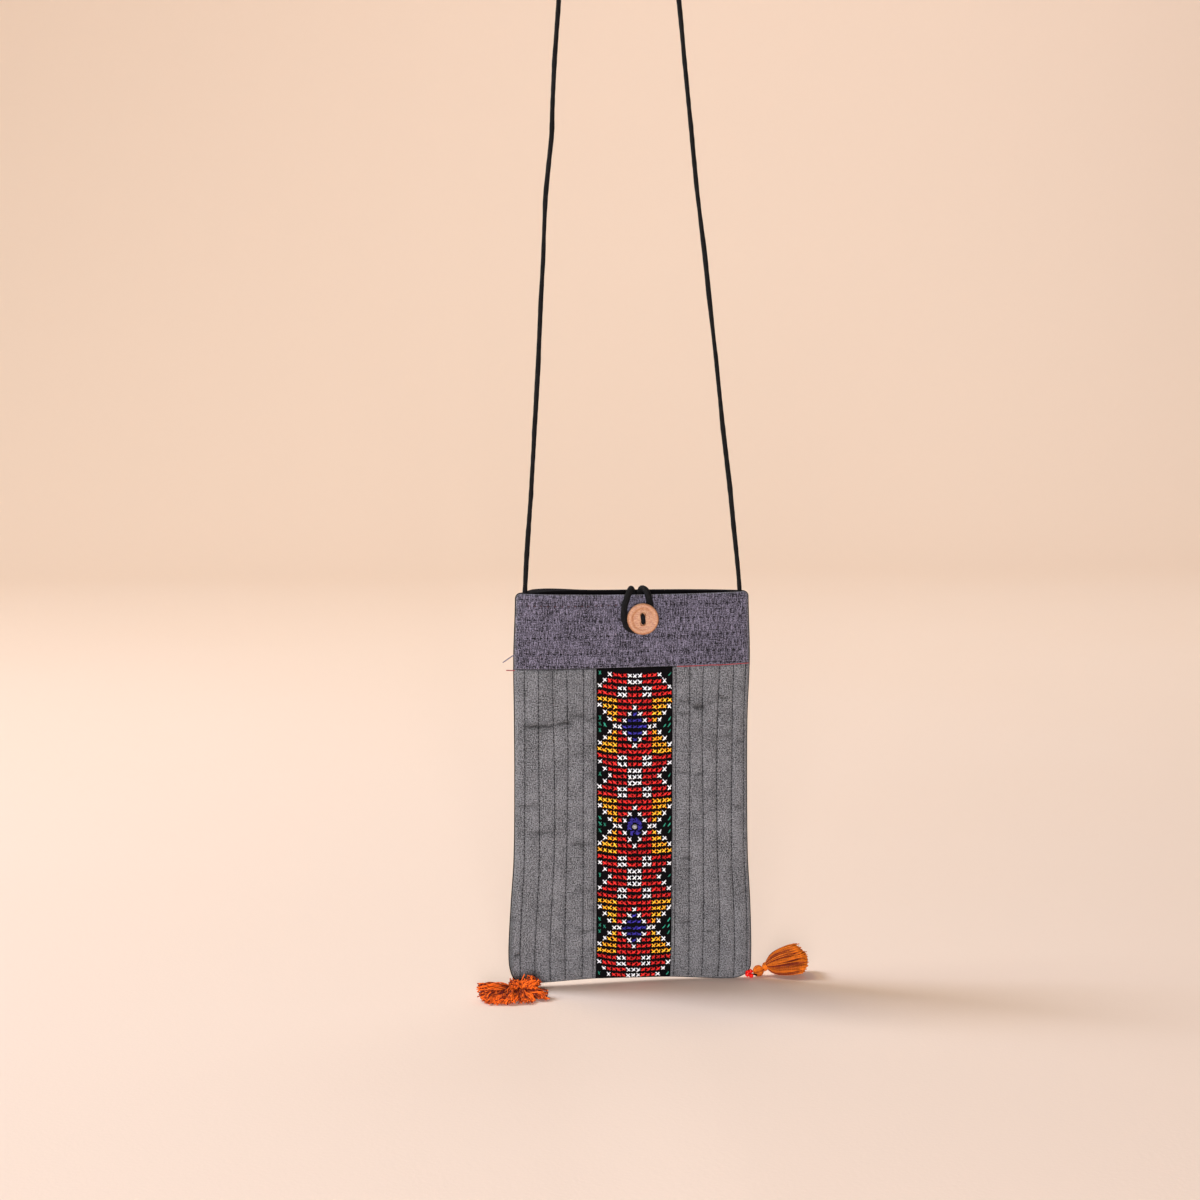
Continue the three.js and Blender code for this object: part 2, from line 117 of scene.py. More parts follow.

# Folds pressed across the grey panels: middle, half length, half width, depth and climb for each step right;
# depth also sets each fold's painted shade
CREASES = table(
    "x z reach width depth climb",
    (-46.0, 127.8, 7.6, 1.1, 0.42, 0.03), (-34.2, 129.4, 4.2, 1.0, 0.36, 0.05),
    (-27.0, 132.9, 3.8, 1.2, 0.24, 0.04), (-20.8, 131.4, 2.8, 0.8, 0.34, 0.25),
    (-21.0, 123.6, 2.2, 0.7, 0.16, 0.0), (-27.2, 114.3, 4.4, 0.8, 0.2, 0.12),
    (-21.0, 117.7, 2.2, 0.6, 0.18, -0.1), (-20.6, 110.7, 1.8, 0.7, 0.2, -0.2),
    (-21.4, 104.8, 3.2, 0.7, 0.26, -0.06), (-28.3, 148.4, 1.8, 0.6, 0.18, 0.0),
    (-24.8, 142.4, 1.8, 0.6, 0.16, 0.2), (-51.5, 88.8, 5.2, 0.9, 0.26, 0.1),
    (-44.0, 76.0, 5.8, 0.9, 0.28, 0.06), (-27.4, 70.2, 3.9, 1.1, 0.3, 0.0),
    (-21.4, 70.0, 2.4, 0.7, 0.2, 0.1), (-24.5, 47.0, 6.8, 0.8, 0.2, 0.1),
    (-21.0, 37.4, 3.0, 0.7, 0.16, 0.0), (-22.6, 26.8, 5.6, 0.8, 0.24, 0.08),
    (-45.0, 40.0, 6.8, 0.8, 0.14, 0.1), (-35.5, 35.2, 3.4, 0.7, 0.14, -0.05),
    (-35.0, 12.0, 4.0, 0.9, 0.2, 0.0), (-56.8, 14.6, 1.6, 1.0, 0.36, 0.4),
    (24.0, 139.2, 3.2, 0.8, 0.28, -0.05), (30.8, 136.4, 3.2, 1.4, 0.46, -0.08),
    (24.0, 133.2, 3.2, 0.8, 0.26, -0.1), (42.8, 140.5, 2.6, 1.1, 0.24, -0.3),
    (36.4, 138.2, 1.6, 1.3, 0.22, 0.1), (41.8, 133.0, 1.6, 0.7, 0.22, 0.0),
    (44.8, 121.8, 3.0, 0.9, 0.24, 0.0), (35.8, 122.2, 1.8, 0.7, 0.16, 0.0),
    (51.8, 118.8, 2.6, 0.8, 0.24, -0.2), (24.0, 104.4, 3.8, 0.7, 0.24, 0.04),
    (31.8, 103.8, 2.8, 0.8, 0.28, 0.3), (36.4, 110.4, 2.0, 0.7, 0.14, 0.3),
    (25.2, 62.2, 2.8, 1.0, 0.32, 0.0), (24.6, 56.4, 2.6, 0.7, 0.16, 0.0),
    (31.0, 59.2, 3.2, 0.7, 0.14, 0.0), (24.6, 30.0, 3.0, 0.8, 0.28, 0.05),
    (37.6, 24.9, 2.0, 1.2, 0.22, 0.0), (50.8, 86.2, 2.6, 0.8, 0.22, 0.05),
    (54.2, 44.2, 3.2, 0.8, 0.22, 0.25),
)

# Middle line of the strap from corner to corner, x and z in the plane of the side seams
STRAP_ROUTE = np.array([
    (-52.3, 184), (-52.2, 191), (-51.6, 202), (-49.8, 229), (-47.5, 265), (-45.4, 303), (-43.4, 342),
    (-41.6, 379), (-40.5, 391), (-38.9, 407), (-38.4, 420), (-37.4, 439), (-35.4, 469), (-32.9, 505),
    (-31.0, 531), (-26.8, 544), (-18.6, 552), (-8.6, 554), (1.4, 552), (9.6, 544),
    (13.8, 531), (16.9, 505), (20.7, 469), (23.7, 441), (26.8, 410), (30.4, 377), (35.2, 338),
    (39.4, 301), (43.1, 268), (46.9, 236), (50.4, 204), (51.4, 191), (51.5, 184),
])

# Middle line of the button loop, from inside the mouth over the front rim, round behind the button and back
LOOP_ROUTE = np.array([
    (-0.4, 0.9, 189.4), (-0.7, 0.5, 191.1), (-1.1, -0.9, 192.7), (-1.6, -2.8, 193.4), (-2.1, -5.5, 193.4),
    (-3.0, -7.75, 192.0), (-4.1, -8.3, 188.8), (-5.0, -8.35, 185.9), (-5.25, -8.35, 182.6),
    (-5.2, -8.35, 179.8), (-4.5, -8.4, 176.9), (-2.9, -8.5, 174.9), (0.2, -8.6, 174.1), (3.7, -8.6, 174.5),
    (6.0, -8.5, 176.4),
    (6.9, -8.4, 179.2), (7.2, -8.35, 182.6), (7.2, -8.3, 186.0), (6.7, -8.15, 189.2), (6.0, -7.75, 191.8),
    (5.0, -5.5, 193.3), (4.0, -2.8, 193.4), (3.5, -0.9, 192.7), (3.2, 0.5, 191.1), (3.0, 0.9, 189.4),
])

# Heights of some of the chart's rows, which the others lie evenly between
CHART_ROWS = table("row z", (0, 152.0), (8, 127.2), (24, 78.3), (40, 27.7), (48, 2.9))

# Left half of the cross-stitch chart with its middle column; the rows run down, and mirror after the last
CHART = (
    "G.WRRRWW",
    ".WRRRRWW",
    "WRRRWWRR",
    "RRRRWWRR",
    "YYYYRRRR",
    "WYYYRRRW",
    ".WYYRRWB",
    "G.WYRWBB",
    "GG.WWBBB",
)

# Half width, half height and yarn size of a cross in each yarn
STITCH_SIZES = {
    Yarn.RED: (0.92, 0.8, 0.82),
    Yarn.WHITE: (0.9, 0.96, 0.7),
    Yarn.YELLOW: (0.96, 0.88, 0.69),
    Yarn.BLUE: (1.0, 0.58, 0.72),
    Yarn.GREEN: (0.62, 0.95, 0.58),
}

# Oval rings of short stitches in the strip's round motif: half sizes, stitches, their height and their slant
COIL_RINGS = table(
    "wide tall count height slant",
    (2.9, 3.9, 17, 0.35, 0.6), (2.1, 2.75, 12, 0.6, -0.5),
)

# Right tassel's skirt: its radius at distances z along it from the root
FLARED_SKIRT = table(
    "z radius",
    (2.6, 1.4), (4.4, 1.9), (6.0, 4.0), (8.8, 5.7), (14.0, 7.0), (19.5, 7.5), (23.4, 7.4), (26.0, 7.4),
)

# Left tassel's lobes: the middle and half sizes of each one's cut ends, its arch and its share of the strands
LOBES = table(
    "x y z wide deep high arch share",
    (-73.6, -20.5, 1.4, 3.2, 6.0, 3.2, 1.2, 0.20), (-75.8, -19.5, 4.6, 0.9, 1.6, 0.9, 1.0, 0.04),
    (-71.0, -25.5, -0.7, 3.8, 3.0, 2.0, 3.0, 0.12), (-64.0, -26.5, -0.5, 5.6, 3.4, 1.9, 3.0, 0.13),
    (-59.2, -18.0, 4.6, 2.2, 2.8, 2.4, 0.0, 0.12), (-50.4, -18.0, 4.9, 4.0, 3.0, 3.2, 0.0, 0.19),
    (-45.6, -21.0, -0.2, 3.2, 4.5, 1.8, 1.5, 0.11), (-54.5, -26.5, -1.1, 5.4, 3.2, 1.2, 2.5, 0.09),
)


def linear(red: int, green: int, blue: int) -> Colour:
    """Scene-linear colour of an sRGB one: each channel over 255, through sRGB's own curve."""
    share = np.array([red, green, blue]) / 255
    value = np.where(share <= 0.04045, share / 12.92, ((share + 0.055) / 1.055) ** 2.4)
    return (*value.tolist(), 1.0)


def unit(vectors: Array) -> Array:
    """Vectors of length one in the same directions."""
    return vectors / np.maximum(np.linalg.norm(vectors, axis=-1, keepdims=True), 1e-9)


def smoothstep(value: Array, low: float, high: float) -> Array:
    """Share from 0 at low to 1 at high, level at both: 3f squared less 2f cubed."""
    f = np.clip((value - low) / (high - low), 0, 1)
    return f * f * (3 - 2 * f)


def graded(count: int, pull: float = 0.5) -> Array:
    """Shares from 0 to 1, a count of steps drawn together at both ends by taking away one sine wave."""
    f = np.linspace(0, 1, count + 1)
    return f - pull * np.sin(math.tau * f) / math.tau


def rounded(distance: Array, radius: float) -> Array:
    """Share of a wall's thickness at a distance in from its edge: a quarter circle, full one radius in."""
    return np.sqrt(1 - (1 - np.clip(distance / radius, 0, 1)) ** 2)


def ripple(x: Array, z: Array, seed: int, length: float, waves: int = 7) -> Array:
    """Gentle unevenness about zero: the mean of sine waves, about a length long, in random directions."""
    rng = np.random.default_rng(seed)
    angle, phase = rng.uniform(0, math.tau, (2, waves))
    pace = math.tau / length * rng.uniform(0.6, 1.6, waves)
    turn = np.asarray(x)[..., None] * np.cos(angle) + np.asarray(z)[..., None] * np.sin(angle)
    return np.sin(turn * pace + phase).mean(axis=-1)


def smooth(rows: Array, z: Array, column: str) -> Array:
    """Column of a table at heights z: cubics between rows, sloped by their neighbours, level at the ends."""
    heights, values = rows["z"], rows[column]
    slopes = np.zeros(len(values))
    slopes[1:-1] = (values[2:] - values[:-2]) / (heights[2:] - heights[:-2])
    z = np.clip(z, heights[0], heights[-1])
    above = np.clip(np.searchsorted(heights, z), 1, len(heights) - 1)
    span = heights[above] - heights[above - 1]
    f = (z - heights[above - 1]) / span
    start = values[above - 1] * (1 + 2 * f) + slopes[above - 1] * span * f
    end = values[above] * (3 - 2 * f) - slopes[above] * span * (1 - f)
    return start * (1 - f) ** 2 + end * f**2


def along_route(route: Array, step: float) -> Array:
    """Points about a step apart on the centripetal Catmull-Rom curve through a route.

    Each span is a cubic from one point to the next. Its end slopes weigh the neighbouring chords by the
    square roots of their lengths, and the curve is then cut into equal lengths.

    Args:
        route: Points that the curve goes through, (points, 3).
        step: Distance between the points that are returned.

    Returns:
        Points on the curve, (steps, 3), with both of the route's ends.
    """
    ends = np.vstack([2 * route[0] - route[1], route, 2 * route[-1] - route[-2]])
    pace = np.sqrt(np.linalg.norm(np.diff(ends, axis=0), axis=1))[:, None]
    before, here, there, after = ends[:-3], ends[1:-2], ends[2:-1], ends[3:]
    p, q, r = pace[:-2], pace[1:-1], pace[2:]
    leave = ((here - before) / p - (there - before) / (p + q) + (there - here) / q) * q
    arrive = ((there - here) / q - (after - here) / (q + r) + (after - there) / r) * q
    f = np.linspace(0, 1, POINTS_IN_A_SPAN, endpoint=False)[None, :, None]
    here, there, leave, arrive = (v[:, None] for v in (here, there, leave, arrive))
    curve = here * (1 + 2 * f) * (1 - f) ** 2 + there * (3 - 2 * f) * f**2
    curve = curve + leave * f * (1 - f) ** 2 - arrive * f**2 * (1 - f)
    fine = np.vstack([curve.reshape(-1, 3), route[-1]])
    run = np.append(0, np.cumsum(np.linalg.norm(np.diff(fine, axis=0), axis=1)))
    at = np.linspace(0, run[-1], max(2, round(run[-1] / step)) + 1)
    return np.stack([np.interp(at, run, fine[:, k]) for k in range(3)], axis=1)


def bag_origin() -> Array:
    """The bag's own origin in row-frame metres: the middle of the strip's foot, in the seams' plane."""
    low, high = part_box("embroidered_strip")
    return np.array([(low.x + high.x) / 2, 0.0, low.z])


ORIGIN = bag_origin()


def to_row(points: Array) -> Array:
    """Bag millimetres as row-frame metres."""
    return np.asarray(points) * MM + ORIGIN


@dataclass
class Patch:
    """Points of a mesh, its faces, a UV place for each face corner, and named numbers for each point.

    Faces are arrays of corner numbers, one array for each count of corners, and corners match them.
    """

    points: Array
    faces: list[Array]
    corners: list[Array]
    numbers: dict[str, Array] = field(default_factory=dict)

    @classmethod
    def grid(cls, points: Array, uv: Array, ring: bool = False) -> "Patch":
        """Quads between the neighbours in a grid of points.

        Args:
            points: Grid of places, (rows, columns, 3).
            uv: Cloth places, (rows, columns, 2), with one more column for a ring.
            ring: Whether the last column joins the first.

        Returns:
            The patch, whose faces point along columns crossed with rows.
        """
        rows, columns = points.shape[:2]
        i, j = np.meshgrid(np.arange(columns if ring else columns - 1), np.arange(rows - 1))
        low, right = j * columns, (i + 1) % columns
        quads = np.stack([low + i, low + right, low + columns + right, low + columns + i], axis=-1)
        places = np.stack([uv[j, i], uv[j, i + 1], uv[j + 1, i + 1], uv[j + 1, i]], axis=-2)
        return cls(points.reshape(-1, 3), [quads.reshape(-1, 4)], [places.reshape(-1, 4, 2)])

    @classmethod
    def barrel(cls, rings: Array, uv: Array | None = None) -> "Patch":
        """Closed surface through rings of points, with a flat cap on the first ring and on the last.

        Args:
            rings: Places, (rings, points in a ring, 3).
            uv: Cloth places, with one more column than the rings, or None for a piece without a map.

        Returns:
            The closed patch.
        """
        rows, columns = rings.shape[:2]
        patch = cls.grid(rings, np.zeros((rows, columns + 1, 2)) if uv is None else uv, ring=True)
        first = np.arange(columns)
        patch.faces.append(np.stack([first[::-1], first + (rows - 1) * columns]))
        patch.corners.append(np.zeros((2, columns, 2)))
        return patch

    @classmethod
    def wall(cls, front: Array, back: Array, uv: Array, shade_and_wear: Array | None = None) -> "Patch":
        """Closed cloth wall: its two faces make one ring, and strips close the ring's bottom and top.

        Args:
            front: Face towards -Y, (rows, columns, 3), from left to right and from the bottom up.
            back: Face towards +Y, of the same size.
            uv: Cloth places of both faces.
            shade_and_wear: Darkness of each point of the front, from 0 to 1: painted shade in folds and
                hollows, with real wear.

        Returns:
            The closed patch.
        """
        rows, wide = front.shape[:2]
        turned = np.concatenate([uv, uv[:, ::-1], uv[:, :1]], axis=1)
        patch = cls.grid(np.concatenate([front, back[:, ::-1]], axis=1), turned, ring=True)
        i = np.arange(wide - 1)
        far = 2 * wide - 1 - i
        foot = np.stack([i, far, far - 1, i + 1], axis=1)
        patch.faces += [foot, foot[:, ::-1] + (rows - 1) * 2 * wide]
        for row in (uv[0], uv[-1]):
            patch.corners.append(np.stack([row[:-1], row[:-1], row[1:], row[1:]], axis=1))
        # Painted shade and real wear darken the front only; the inner face gets none
        shade = np.zeros((rows, wide)) if shade_and_wear is None else shade_and_wear
        patch.numbers[SHADE_AND_WEAR] = np.concatenate([shade, 0 * shade], axis=1).ravel()
        return patch

    @classmethod
    def tubes(
        cls, paths: Array, radii: Array | float, sides: int, facing: Array, tint: Array | float,
        flat: float = 1.0,
    ) -> "Patch":
        """Closed tubes: rings of points square to each path, with a flat cap at each end.

        Args:
            paths: Middle lines, (tubes, steps, 3).
            radii: Radius of each ring or ring point, spread to (tubes, steps, sides).
            sides: Points in a ring.
            facing: Direction that the rings' second axis leans towards, spread to the paths.
            tint: Shade of the yarn, spread to (tubes, steps).
            flat: Height of a ring along facing over its width.

        Returns:
            The tubes as one patch, with UV places of millimetres along and a share round.
        """
        count, steps = paths.shape[:2]
        ahead = unit(np.gradient(paths, axis=1))
        side = unit(np.cross(np.broadcast_to(facing, paths.shape), ahead))
        up = np.cross(ahead, side) * flat
        turn = np.arange(sides) * math.tau / sides
        reach = np.broadcast_to(radii, (count, steps, sides))[..., None]
        spokes = side[:, :, None] * np.cos(turn)[:, None] + up[:, :, None] * np.sin(turn)[:, None]
        points = paths[:, :, None] + reach * spokes
        k, j, i = np.meshgrid(np.arange(count), np.arange(steps - 1), np.arange(sides), indexing="ij")
        low, right = (k * steps + j) * sides, (i + 1) % sides
        quads = np.stack([low + i, low + right, low + sides + right, low + sides + i], axis=-1)
        lengths = np.linalg.norm(np.diff(paths, axis=1), axis=2)
        run = np.concatenate([np.zeros((count, 1)), np.cumsum(lengths, axis=1)], axis=1)
        square = ((0, 0), (1, 0), (1, 1), (0, 1))
        places = [np.stack([run[k, j + dj], (i + di) / sides], axis=-1) for di, dj in square]
        ring = np.arange(sides)
        first = np.arange(count)[:, None] * steps * sides
        caps = np.concatenate([first + ring[::-1], first + (steps - 1) * sides + ring])
        corners = [np.stack(places, axis=-2).reshape(-1, 4, 2), np.zeros((len(caps), sides, 2))]
        patch = cls(points.reshape(-1, 3), [quads.reshape(-1, 4), caps], corners)
        patch.numbers[TINT] = np.repeat(np.broadcast_to(tint, (count, steps)).ravel(), sides)
        return patch

    @classmethod
    def join(cls, *patches: "Patch") -> "Patch":
        """All patches as one mesh, with the named numbers that the first one has."""
        starts = np.append(0, np.cumsum([len(p.points) for p in patches]))
        faces = [f + start for p, start in zip(patches, starts) for f in p.faces]
        corners = [c for p in patches for c in p.corners]
        numbers = {
            name: np.concatenate([p.numbers.get(name, np.zeros(len(p.points))) for p in patches])
            for name in patches[0].numbers
        }
        return cls(np.concatenate([p.points for p in patches]), faces, corners, numbers)

    def place(self, name: str, material: bpy.types.Material) -> bpy.types.Object:
        """Makes the mesh object: points in row-frame metres, faces of four corners or fewer smooth.

        Args:
            name: Name of the piece.
            material: Its finish.

        Returns:
            The object, at the origin and linked to the scene.
        """
        mesh = bpy.data.meshes.new(name)
        sizes = np.concatenate([np.full(len(f), f.shape[1]) for f in self.faces])
        loops = np.concatenate([f.ravel() for f in self.faces])
        mesh.vertices.add(len(self.points))
        mesh.vertices.foreach_set("co", to_row(self.points).astype(np.float32).ravel())
        mesh.loops.add(len(loops))
        mesh.loops.foreach_set("vertex_index", loops.astype(np.int32))
        mesh.polygons.add(len(sizes))
        mesh.polygons.foreach_set("loop_start", np.append(0, np.cumsum(sizes)[:-1]).astype(np.int32))
        mesh.polygons.foreach_set("use_smooth", sizes <= 4)
        places = np.concatenate([c.reshape(-1, 2) for c in self.corners])
        mesh.uv_layers.new(name=CLOTH_MAP).data.foreach_set("uv", places.astype(np.float32).ravel())
        for key, values in self.numbers.items():
            mesh.attributes.new(key, "FLOAT", "POINT").data.foreach_set("value", values.astype(np.float32))
        mesh.update(calc_edges=True)
        mesh.materials.append(material)
        made = bpy.data.objects.new(name, mesh)
        bpy.context.scene.collection.objects.link(made)
        return made


class Wire:
    """One value in a material's graph; arithmetic on it adds Math nodes."""

    def __init__(self, graph: "Graph", socket: bpy.types.NodeSocket) -> None:
        """Wraps an output socket of a graph's node."""
        self.graph = graph
        self.socket = socket

    def math(self, operation: str, first: "Wire | float", second: "Wire | float" = 0.0) -> "Wire":
        """Value of one Math node on two values."""
        return self.graph.node("Math", {"operation": operation}, {0: first, 1: second})

    def __add__(self, other: "Wire | float") -> "Wire":
        """Sum with a value on the right."""
        return self.math("ADD", self, other)

    def __radd__(self, other: float) -> "Wire":
        """Sum with a number on the left."""
        return self.math("ADD", other, self)

    def __sub__(self, other: "Wire | float") -> "Wire":
        """Difference from a value on the right."""
        return self.math("SUBTRACT", self, other)

    def __rsub__(self, other: float) -> "Wire":
        """Difference from a number on the left."""
        return self.math("SUBTRACT", other, self)

    def __mul__(self, other: "Wire | float") -> "Wire":
        """Product with a value on the right."""
        return self.math("MULTIPLY", self, other)

    def __rmul__(self, other: float) -> "Wire":
        """Product with a number on the left."""
        return self.math("MULTIPLY", other, self)

    def sine(self) -> "Wire":
        """Sine of the value, in radians."""
        return self.math("SINE", self)


class Graph:
    """Node graph of one material, ending in a Principled shader."""

    def __init__(self, name: str) -> None:
        """Starts an empty material of that name."""
        self.material = bpy.data.materials.new(name)
        self.material.use_nodes = True
        self.tree = self.material.node_tree
        self.tree.nodes.clear()

    def node(
        self, kind: str, settings: dict | None = None, inputs: dict | None = None, output: int | str = 0,
    ) -> Wire:
        """Adds one node.

        Args:
            kind: Node type, without ShaderNode before it.
            settings: Properties to set first.
            inputs: Values or wires for its sockets, by name or number.
            output: Output socket to return.

        Returns:
            The output as a wire.
        """
        made = self.tree.nodes.new(f"ShaderNode{kind}")
        for key, value in (settings or {}).items():
            setattr(made, key, value)
        for key, value in (inputs or {}).items():
            if isinstance(value, Wire):
                self.tree.links.new(value.socket, made.inputs[key])
            else:
                made.inputs[key].default_value = value
        return Wire(self, made.outputs[output])

    def cloth(self) -> Wire:
        """Place on the piece's own map."""
        return self.node("UVMap", {"uv_map": CLOTH_MAP})

    def place(self) -> Wire:
        """Place in the piece's own axes, in metres."""
        return self.node("TexCoord", output="Object")

    def number(self, name: str) -> Wire:
        """A named number of the mesh's points."""
        return self.node("Attribute", {"attribute_name": name}, output="Fac")

    def part(self, place: Wire, axis: str) -> Wire:
        """One coordinate of a place."""
        return self.node("SeparateXYZ", None, {0: place}, axis)

    def noise(self, place: Wire, scale: Place, detail: float = 2.0) -> Wire:
        """Soft noise about 0.5 at a place, with its own repeats to a unit of length on each axis."""
        scaled = self.node("VectorMath", {"operation": "MULTIPLY"}, {0: place, 1: scale})
        return self.node("TexNoise", None, {"Vector": scaled, "Scale": 1.0, "Detail": detail})

    def mix(self, share: Wire, first: "Wire | Colour", second: "Wire | Colour") -> Wire:
        """Colour between two, by a share from 0 to 1."""
        settings = {"data_type": "RGBA", "clamp_factor": True}
        return self.node("Mix", settings, {0: share, 6: first, 7: second}, 2)

    def finish(
        self, base: Wire, roughness: Wire | float, relief: Wire, depth: float, **fixed: float,
    ) -> bpy.types.Material:
        """Ends the graph in a Principled shader.

        Args:
            base: Base colour.
            roughness: Roughness of the surface.
            relief: Height of the fine relief, about 0 to 1.
            depth: Height of that relief in millimetres.
            fixed: Other sockets' numbers, with underscores for spaces.

        Returns:
            The finished material.
        """
        bump = self.node("Bump", None, {"Strength": 1.0, "Distance": depth * MM, "Height": relief})
        inputs = {key.replace("_", " "): value for key, value in fixed.items()}
        inputs = {"Base Color": base, "Roughness": roughness, "Normal": bump, **inputs}
        shader = self.node("BsdfPrincipled", None, inputs)
        ending = self.tree.nodes.new("ShaderNodeOutputMaterial")
        self.tree.links.new(shader.socket, ending.inputs["Surface"])
        return self.material


class Finish(Protocol):
    """A surface that a piece can be given."""

    def material(self) -> bpy.types.Material:
        """The material, made once."""


@dataclass(frozen=True)
class WovenCotton:
    """Plain-woven cotton: yarns of two shades in uneven runs along both threads, with painted shade in creases
    and hollows, and real wear, from a point number.
    """

    name: str
    dark: Colour
    light: Colour
    middle: float = 0.5
    upright: float = 1.2
    level: float = 0.7
    grain: float = 1.3
    cloud: float = 0.6
    pitch: float = 0.42
    relief: float = 0.12
    # Darkest share of the dark yarn's colour, for painted shade and real wear
    shade_and_wear_tone: float = 0.35
    sheen: float = 0.15
    shine: float = 0.2
    roughness: float = 0.92

    @cache
    def material(self) -> bpy.types.Material:
        """Shade is a sum of stretched noises; relief is a sine along each thread, over and under."""
        g = Graph(self.name)
        place = g.cloth()
        upright = g.noise(place, (2.4, 0.26, 1.0)) - 0.5
        level = g.noise(place, (0.14, 2.2, 1.0)) - 0.5
        grain = g.noise(place, (1.9, 1.5, 1.0)) - 0.5
        cloud = g.noise(place, (0.11, 0.07, 1.0)) - 0.5
        shade = self.middle + upright * self.upright + level * self.level
        shade = shade + grain * self.grain + cloud * self.cloud
        yarns = g.mix(shade, self.dark, self.light)
        # Painted shade and real wear mix the yarns towards a darker copy of the dark yarn
        shade_and_wear_colour = (*(c * self.shade_and_wear_tone for c in self.dark[:3]), 1.0)
        base = g.mix(g.number(SHADE_AND_WEAR), yarns, shade_and_wear_colour)
        turn = math.pi / self.pitch
        over = (g.part(place, "X") * turn).sine() * (g.part(place, "Y") * turn).sine()
        height = over * 0.5 + 0.5 + grain * 1.5 + upright
        return g.finish(
            base, self.roughness, height, self.relief,
            Sheen_Weight=self.sheen, Sheen_Roughness=0.5, Specular_IOR_Level=self.shine,
        )


@dataclass(frozen=True)
class Floss:
    """Twisted cotton yarn, in two shades that each strand's own tint lies between."""

    name: str
    deep: Colour
    bright: Colour
    roughness: float = 0.6
    sheen: float = 0.2
    shine: float = 0.3
    twist: float = 1.1
    plies: float = 2.0
    relief: float = 0.06

    @cache
    def material(self) -> bpy.types.Material:
        """Colour is the strand's tint with a soft noise and painted shade along the twist; relief is a sine
        that winds round the strand.
        """
        g = Graph(self.name)
        place = g.cloth()
        run, turn = g.part(place, "X"), g.part(place, "Y")
        ply = ((run * self.twist + turn * self.plies) * math.tau).sine() * 0.5
        fleck = g.noise(place, (0.9, 4.0, 1.0)) - 0.5
        # Painted shade along the twist: darker in the grooves between plies, lighter on their ridges
        base = g.mix(g.number(TINT) + fleck * 0.7 + ply * 0.25, self.deep, self.bright)
        height = ply + 0.5 + fleck * 0.5
        return g.finish(
            base, self.roughness, height, self.relief, Sheen_Weight=self.sheen, Specular_IOR_Level=self.shine,
        )


@dataclass(frozen=True)
class RolledCotton:
    """Black cotton rolled into a round cord, lighter on its ridges: partly real wear, partly painted
    highlight.
    """

    name: str = "rolled_black_cotton"
    dark: Colour = linear(4, 3, 4)
    worn: Colour = linear(25, 23, 24)
    picks: float = 2.2
    ends: float = 9.0
    relief: float = 0.5

    @cache
    def material(self) -> bpy.types.Material:
        """Colour and relief are noises drawn out along the cord, over a weave that winds round it; wrinkle
        ridges are painted lighter.
        """
        g = Graph(self.name)
        place = g.cloth()
        run, turn = g.part(place, "X") * self.picks, g.part(place, "Y") * self.ends
        wrinkle = g.noise(place, (0.5, 5.0, 1.0), 3.0)
        wear = g.noise(place, (0.05, 1.5, 1.0))
        weave = ((run + turn) * math.tau).sine() * ((run - turn) * math.tau).sine()
        # Lighter on wrinkle ridges: partly real wear, partly painted highlight; the broader noise is real wear
        base = g.mix((wrinkle - 0.45) * 1.6 + (wear - 0.5) * 1.2, self.dark, self.worn)
        return g.finish(base, 0.75, wrinkle + weave * 0.12, self.relief, Specular_IOR_Level=0.2)


@dataclass(frozen=True)
class SmoothWood:
    """Light brown wood, sanded smooth, with short fibres and specks."""

    centre: Place
    name: str = "smooth_light_wood"
    pale: Colour = linear(177, 134, 98)
    brown: Colour = linear(145, 89, 57)
    speck: Colour = linear(105, 58, 36)
    relief: float = 0.05

    @cache
    def material(self) -> bpy.types.Material:
        """Colour is drawn-out noise for fibres, with specks where a finer noise is high."""
        g = Graph(self.name)
        to_mm = {"Location": tuple(-c / MM for c in self.centre), "Scale": (1 / MM, 1 / MM, 1 / MM)}
        place = g.node("Mapping", {"vector_type": "POINT"}, {0: g.place(), **to_mm})
        fibre = g.noise(place, (0.7, 0.8, 1.9), 4.0)
        speck = g.noise(place, (2.4, 2.4, 3.6))
        base = g.mix((fibre - 0.34) * 2.6, self.brown, self.pale)
        base = g.mix((speck - 0.54) * 5.0, base, self.speck)
        roughness = 0.5 + (fibre - 0.5) * 0.3
        return g.finish(base, roughness, fibre + speck * 0.4, self.relief, Specular_IOR_Level=0.4)


@dataclass(frozen=True)
class GlossyBead:
    """Glossy bead with a faint clouding under its surface."""

    name: str
    deep: Colour
    bright: Colour
    roughness: float = 0.2
    coat: float = 0.15
    relief: float = 0.02

    @cache
    def material(self) -> bpy.types.Material:
        """Colour is a soft noise between two shades, under a clear coat."""
        g = Graph(self.name)
        cloud = g.noise(g.place(), (900.0, 900.0, 900.0))
        base = g.mix((cloud - 0.3) * 2.0, self.deep, self.bright)
        return g.finish(
            base, self.roughness, cloud, self.relief,
            Coat_Weight=self.coat, Coat_Roughness=0.05, Specular_IOR_Level=0.25,
        )


@dataclass(frozen=True)
class StudioPaper:
    """Plain warm paper of the floor and backdrop."""

    name: str = "studio_paper"
    floor: Colour = linear(243, 221, 206)
    backdrop: Colour = linear(240, 212, 190)
    bend: float = 0.6
    relief: float = 0.08

    @cache
    def material(self) -> bpy.types.Material:
        """Colour goes from the floor's to the backdrop's as the paper runs back; relief is a fine tooth."""
        g = Graph(self.name)
        place = g.place()
        cloud = g.noise(place, (3.0, 3.0, 3.0), 3.0)
        tooth = g.noise(place, (500.0, 500.0, 500.0))
        base = g.mix(g.part(place, "Y") * self.bend + (cloud - 0.5) * 0.3, self.floor, self.backdrop)
        return g.finish(base, 0.95, tooth, self.relief, Specular_IOR_Level=0.05)


